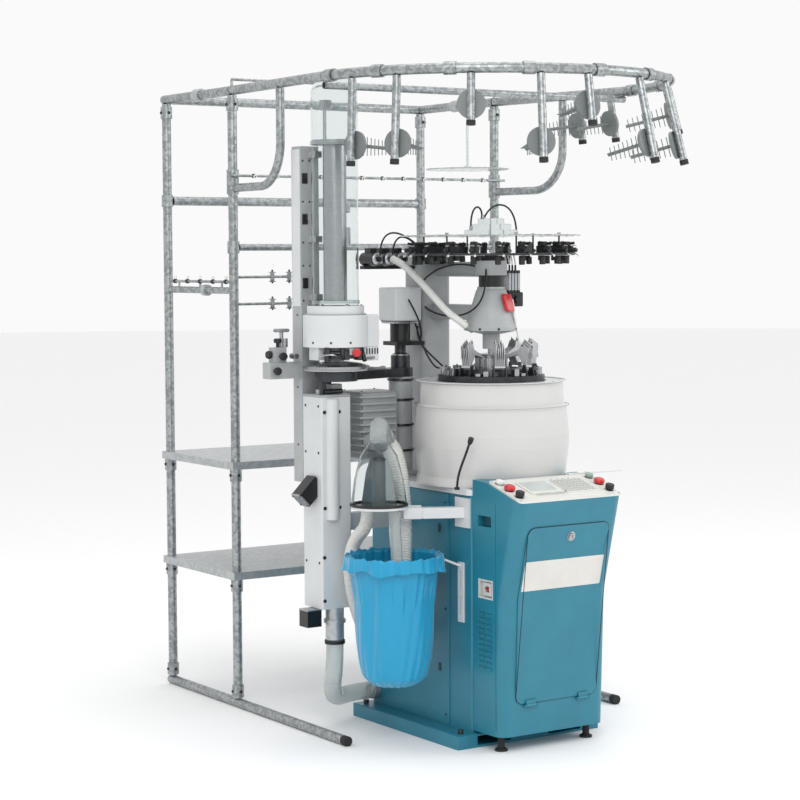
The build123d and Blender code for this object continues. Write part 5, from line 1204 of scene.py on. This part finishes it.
class KNIT_OT_creel(bpy.types.Operator):
    """Makes the creel's thread guides, tension discs, clamps, clamp bolts, bar couplings and shelf lips"""
    bl_idname = "knit.creel"
    bl_label = "Creel details"

    def execute(self, context):
        look = finishes()
        eyes, discs, clamps = [], [], []
        for x in np.linspace(-0.50, 0.52, 12):
            eyes.append(lathe([(0.0035, -0.002), (0.0065, -0.002), (0.0075, 0), (0.0065, 0.002),
                               (0.0035, 0.002)],
                              (x, 0.774 - 0.012, 1.944 - 0.003), (0, 1, 0), 14, closed=True))
            clamps.append(bar((x - 0.005, 0.7737, 1.944), (x + 0.005, 0.7737, 1.944), 0.0078, 14))
        for x, z in ((-0.41, 1.578), (-0.338, 1.578), (-0.41, 1.480), (-0.338, 1.480)):
            for lift in (-0.019, 0.014):
                discs.append(lathe([(0, 0), (0.013, 0), (0.0145, 0.0015), (0.008, 0.005), (0, 0.005)],
                                   (x, 0.801, z + lift),
                                   (0, 0, 1), 22))
            clamps.append(bar((x, 0.801, z - 0.024), (x, 0.801, z + 0.026), 0.0035, 10))
            discs.append(coil((x, 0.801, z - 0.013), (x, 0.801, z + 0.012), 0.009, 0.0008, 5, 12))
        for y in np.linspace(0.86, 1.26, 5):
            clamps.append(bar((STAND_LEFT, y - 0.006, 1.561), (STAND_LEFT, y + 0.006, 1.561), 0.0085, 14))
            eyes.append(lathe([(0.0035, -0.002), (0.0065, -0.002), (0.0075, 0), (0.0065, 0.002),
                               (0.0035, 0.002)],
                              (STAND_LEFT, y, 1.5755), (0, 1, 0), 14, closed=True))
        piece("guide_eyes", eyes, look["white_plastic"])
        piece("tension_discs", discs, look["steel"])
        piece("guide_clamps", clamps, look["dark_steel"])
        # couplings half way along the upper bars
        joints = [lathe([(0.0175, 0), (0.0225, 0), (0.0235, 0.004), (0.0235, 0.046), (0.0225, 0.050),
                         (0.0175, 0.050)],
                        (x, 1.03, 2.25), (0, 1, 0), 28, closed=True) for x in (STAND_LEFT, STAND_RIGHT)]
        joints.append(bar((STAND_LEFT, 1.000, 1.529), (STAND_LEFT, 1.026, 1.529), 0.021, 24))
        piece("bar_couplings", joints, look["sheet_zinc"])
        bolts = []
        for x in (STAND_LEFT, STAND_RIGHT):
            for y in (0.801, 1.317):
                for z in (0.060, 0.857, 0.451, 2.200):
                    bolts.append(screw((x + (0.022 if x > 0 else -0.022), y, z), (1 if x > 0 else -1, 0, 0),
                                       0.006, 0.004))
                    bolts.append(screw((x, y - 0.022, z), (0, -1, 0), 0.006, 0.004))
        piece("clamp_bolts", bolts, look["dark_steel"])
        low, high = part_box("shelves")
        for k, top in enumerate((0.906, 0.501), start=1):
            lip = round_rect(high[0] - low[0] - 0.002, high[1] - low[1] - 0.002, 0.004)
            path = np.column_stack([lip + ((low[0] + high[0]) / 2, (low[1] + high[1]) / 2),
                                    np.full(len(lip), top - 0.0265)])
            piece(f"shelf_lip_{k}", [sweep(path, round_rect(0.0022, 0.003, 0.0008, 3), closed=True,
                                           lean=(0, 0, 1))],
                  look["sheet_zinc"])
        return {"FINISHED"}


# ---- stage ----


class KNIT_OT_stage(bpy.types.Operator):
    """Sets the pale floor, the soft lights and the camera"""
    bl_idname = "knit.stage"
    bl_label = "Stage"

    def execute(self, context):
        own = settings("knit_stage")
        t = np.linspace(0, 2 * np.pi, 96, endpoint=False)
        r = np.array([0.02, 4.0, 14.0, 40.0])[:, None]
        points = np.stack([r * np.cos(t), r * np.sin(t), 0 * r * t], axis=-1).reshape(-1, 3)
        mesh = bpy.data.meshes.new("floor")
        mesh.from_pydata(points.tolist(), [], grid_quads(4, 96,
                                                         wrap_cols=True).tolist() + [list(range(96))])
        floor = bpy.data.objects.new("floor", mesh)
        paint = finish("matt_floor", "#F7F7F7", "#F5F5F5", 0.9, grain=0.01, relief=0.02)
        mesh.materials.append(paint)
        context.scene.collection.objects.link(floor)
        world = bpy.data.worlds.new("studio")
        world.use_nodes = True
        world.node_tree.nodes["Background"].inputs[0].default_value = linear("#FAFAFA")
        world.node_tree.nodes["Background"].inputs[1].default_value = 1.0
        context.scene.world = world
        for name, place, aim, size, power in (("key", (-3.4, -4.6, 4.6), (0, 0, 1.1), 3.2, own.key),
                                              ("side", (4.2, -3.0, 3.4), (0, 0.2, 1.0), 2.6, own.fill),
                                              ("top", (0.2, 0.6, 5.6), (0, 0.2, 1.0), 3.6, own.fill * 0.8)):
            lamp = bpy.data.lights.new(name, "AREA")
            lamp.energy, lamp.size = power, size
            obj = bpy.data.objects.new(name, lamp)
            back = unit(np.array(place) - np.array(aim))
            across = unit(np.cross((0, 1, 0) if abs(back[2]) > 0.95 else (0, 0, 1), back))
            turn = np.eye(4)
            turn[:3, 0], turn[:3, 1], turn[:3, 2], turn[:3, 3] = across, np.cross(back, across), back, place
            obj.matrix_world = Matrix(turn.tolist())
            context.scene.collection.objects.link(obj)
        yaw, pitch, roll = np.radians([33.4557, 3.9398, -0.2940])
        forward = np.array([math.sin(yaw) * math.cos(pitch), math.cos(yaw) * math.cos(pitch),
                            -math.sin(pitch)])
        right = np.array([math.cos(yaw), -math.sin(yaw), 0])
        up = np.cross(right, forward)
        c, s = math.cos(roll), math.sin(roll)
        turn = np.eye(4)
        turn[:3, 0], turn[:3, 1], turn[:3, 2] = c * right + s * up, -s * right + c * up, -forward
        turn[:3, 3] = (-4.26863, -5.88456, 1.65306)
        lens = bpy.data.cameras.new("camera")
        lens.lens, lens.sensor_width, lens.clip_end = 94.32, 36.0, 200
        camera = bpy.data.objects.new("camera", lens)
        camera.matrix_world = Matrix(turn.tolist())
        context.scene.collection.objects.link(camera)
        context.scene.camera = camera
        context.scene.view_settings.view_transform = "Standard"
        return {"FINISHED"}


class KNIT_PT_panel(bpy.types.Panel):
    """Lists the steps that make the machine"""
    bl_label = "Sock knitting machine"
    bl_space_type = "VIEW_3D"
    bl_region_type = "UI"
    bl_category = "Knitting"

    def draw(self, context):
        for step in STEPS:
            self.layout.operator(step.bl_idname)
        for group in GROUPS:
            values = getattr(context.scene, group)
            for name in values.bl_rna.properties.keys():
                if name not in ("rna_type", "name"):
                    self.layout.prop(values, name)


GROUPS = {"knit_finishes": KnitFinishes, "knit_hoses": KnitHoses, "knit_bag": KnitBag,
          "knit_stage": KnitStage}
STEPS = (KNIT_OT_stage, KNIT_OT_hoses, KNIT_OT_finishes, KNIT_OT_bag, KNIT_OT_control, KNIT_OT_cabinet,
         KNIT_OT_head,
         KNIT_OT_needles, KNIT_OT_devices, KNIT_OT_linker, KNIT_OT_takeoff, KNIT_OT_creel)


def register():
    for name, group in GROUPS.items():
        bpy.utils.register_class(group)
        setattr(bpy.types.Scene, name, bpy.props.PointerProperty(type=group))
    for kind in (*STEPS, KNIT_PT_panel):
        bpy.utils.register_class(kind)


def unregister():
    for kind in (KNIT_PT_panel, *reversed(STEPS)):
        bpy.utils.unregister_class(kind)
    for name, group in GROUPS.items():
        delattr(bpy.types.Scene, name)
        bpy.utils.unregister_class(group)


def main():
    """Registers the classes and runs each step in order."""
    register()
    for step in STEPS:
        family, name = step.bl_idname.split(".")
        if getattr(getattr(bpy.ops, family), name)() != {"FINISHED"}:
            raise RuntimeError(f"{step.bl_idname} did not finish")


if __name__ == "__main__":
    main()
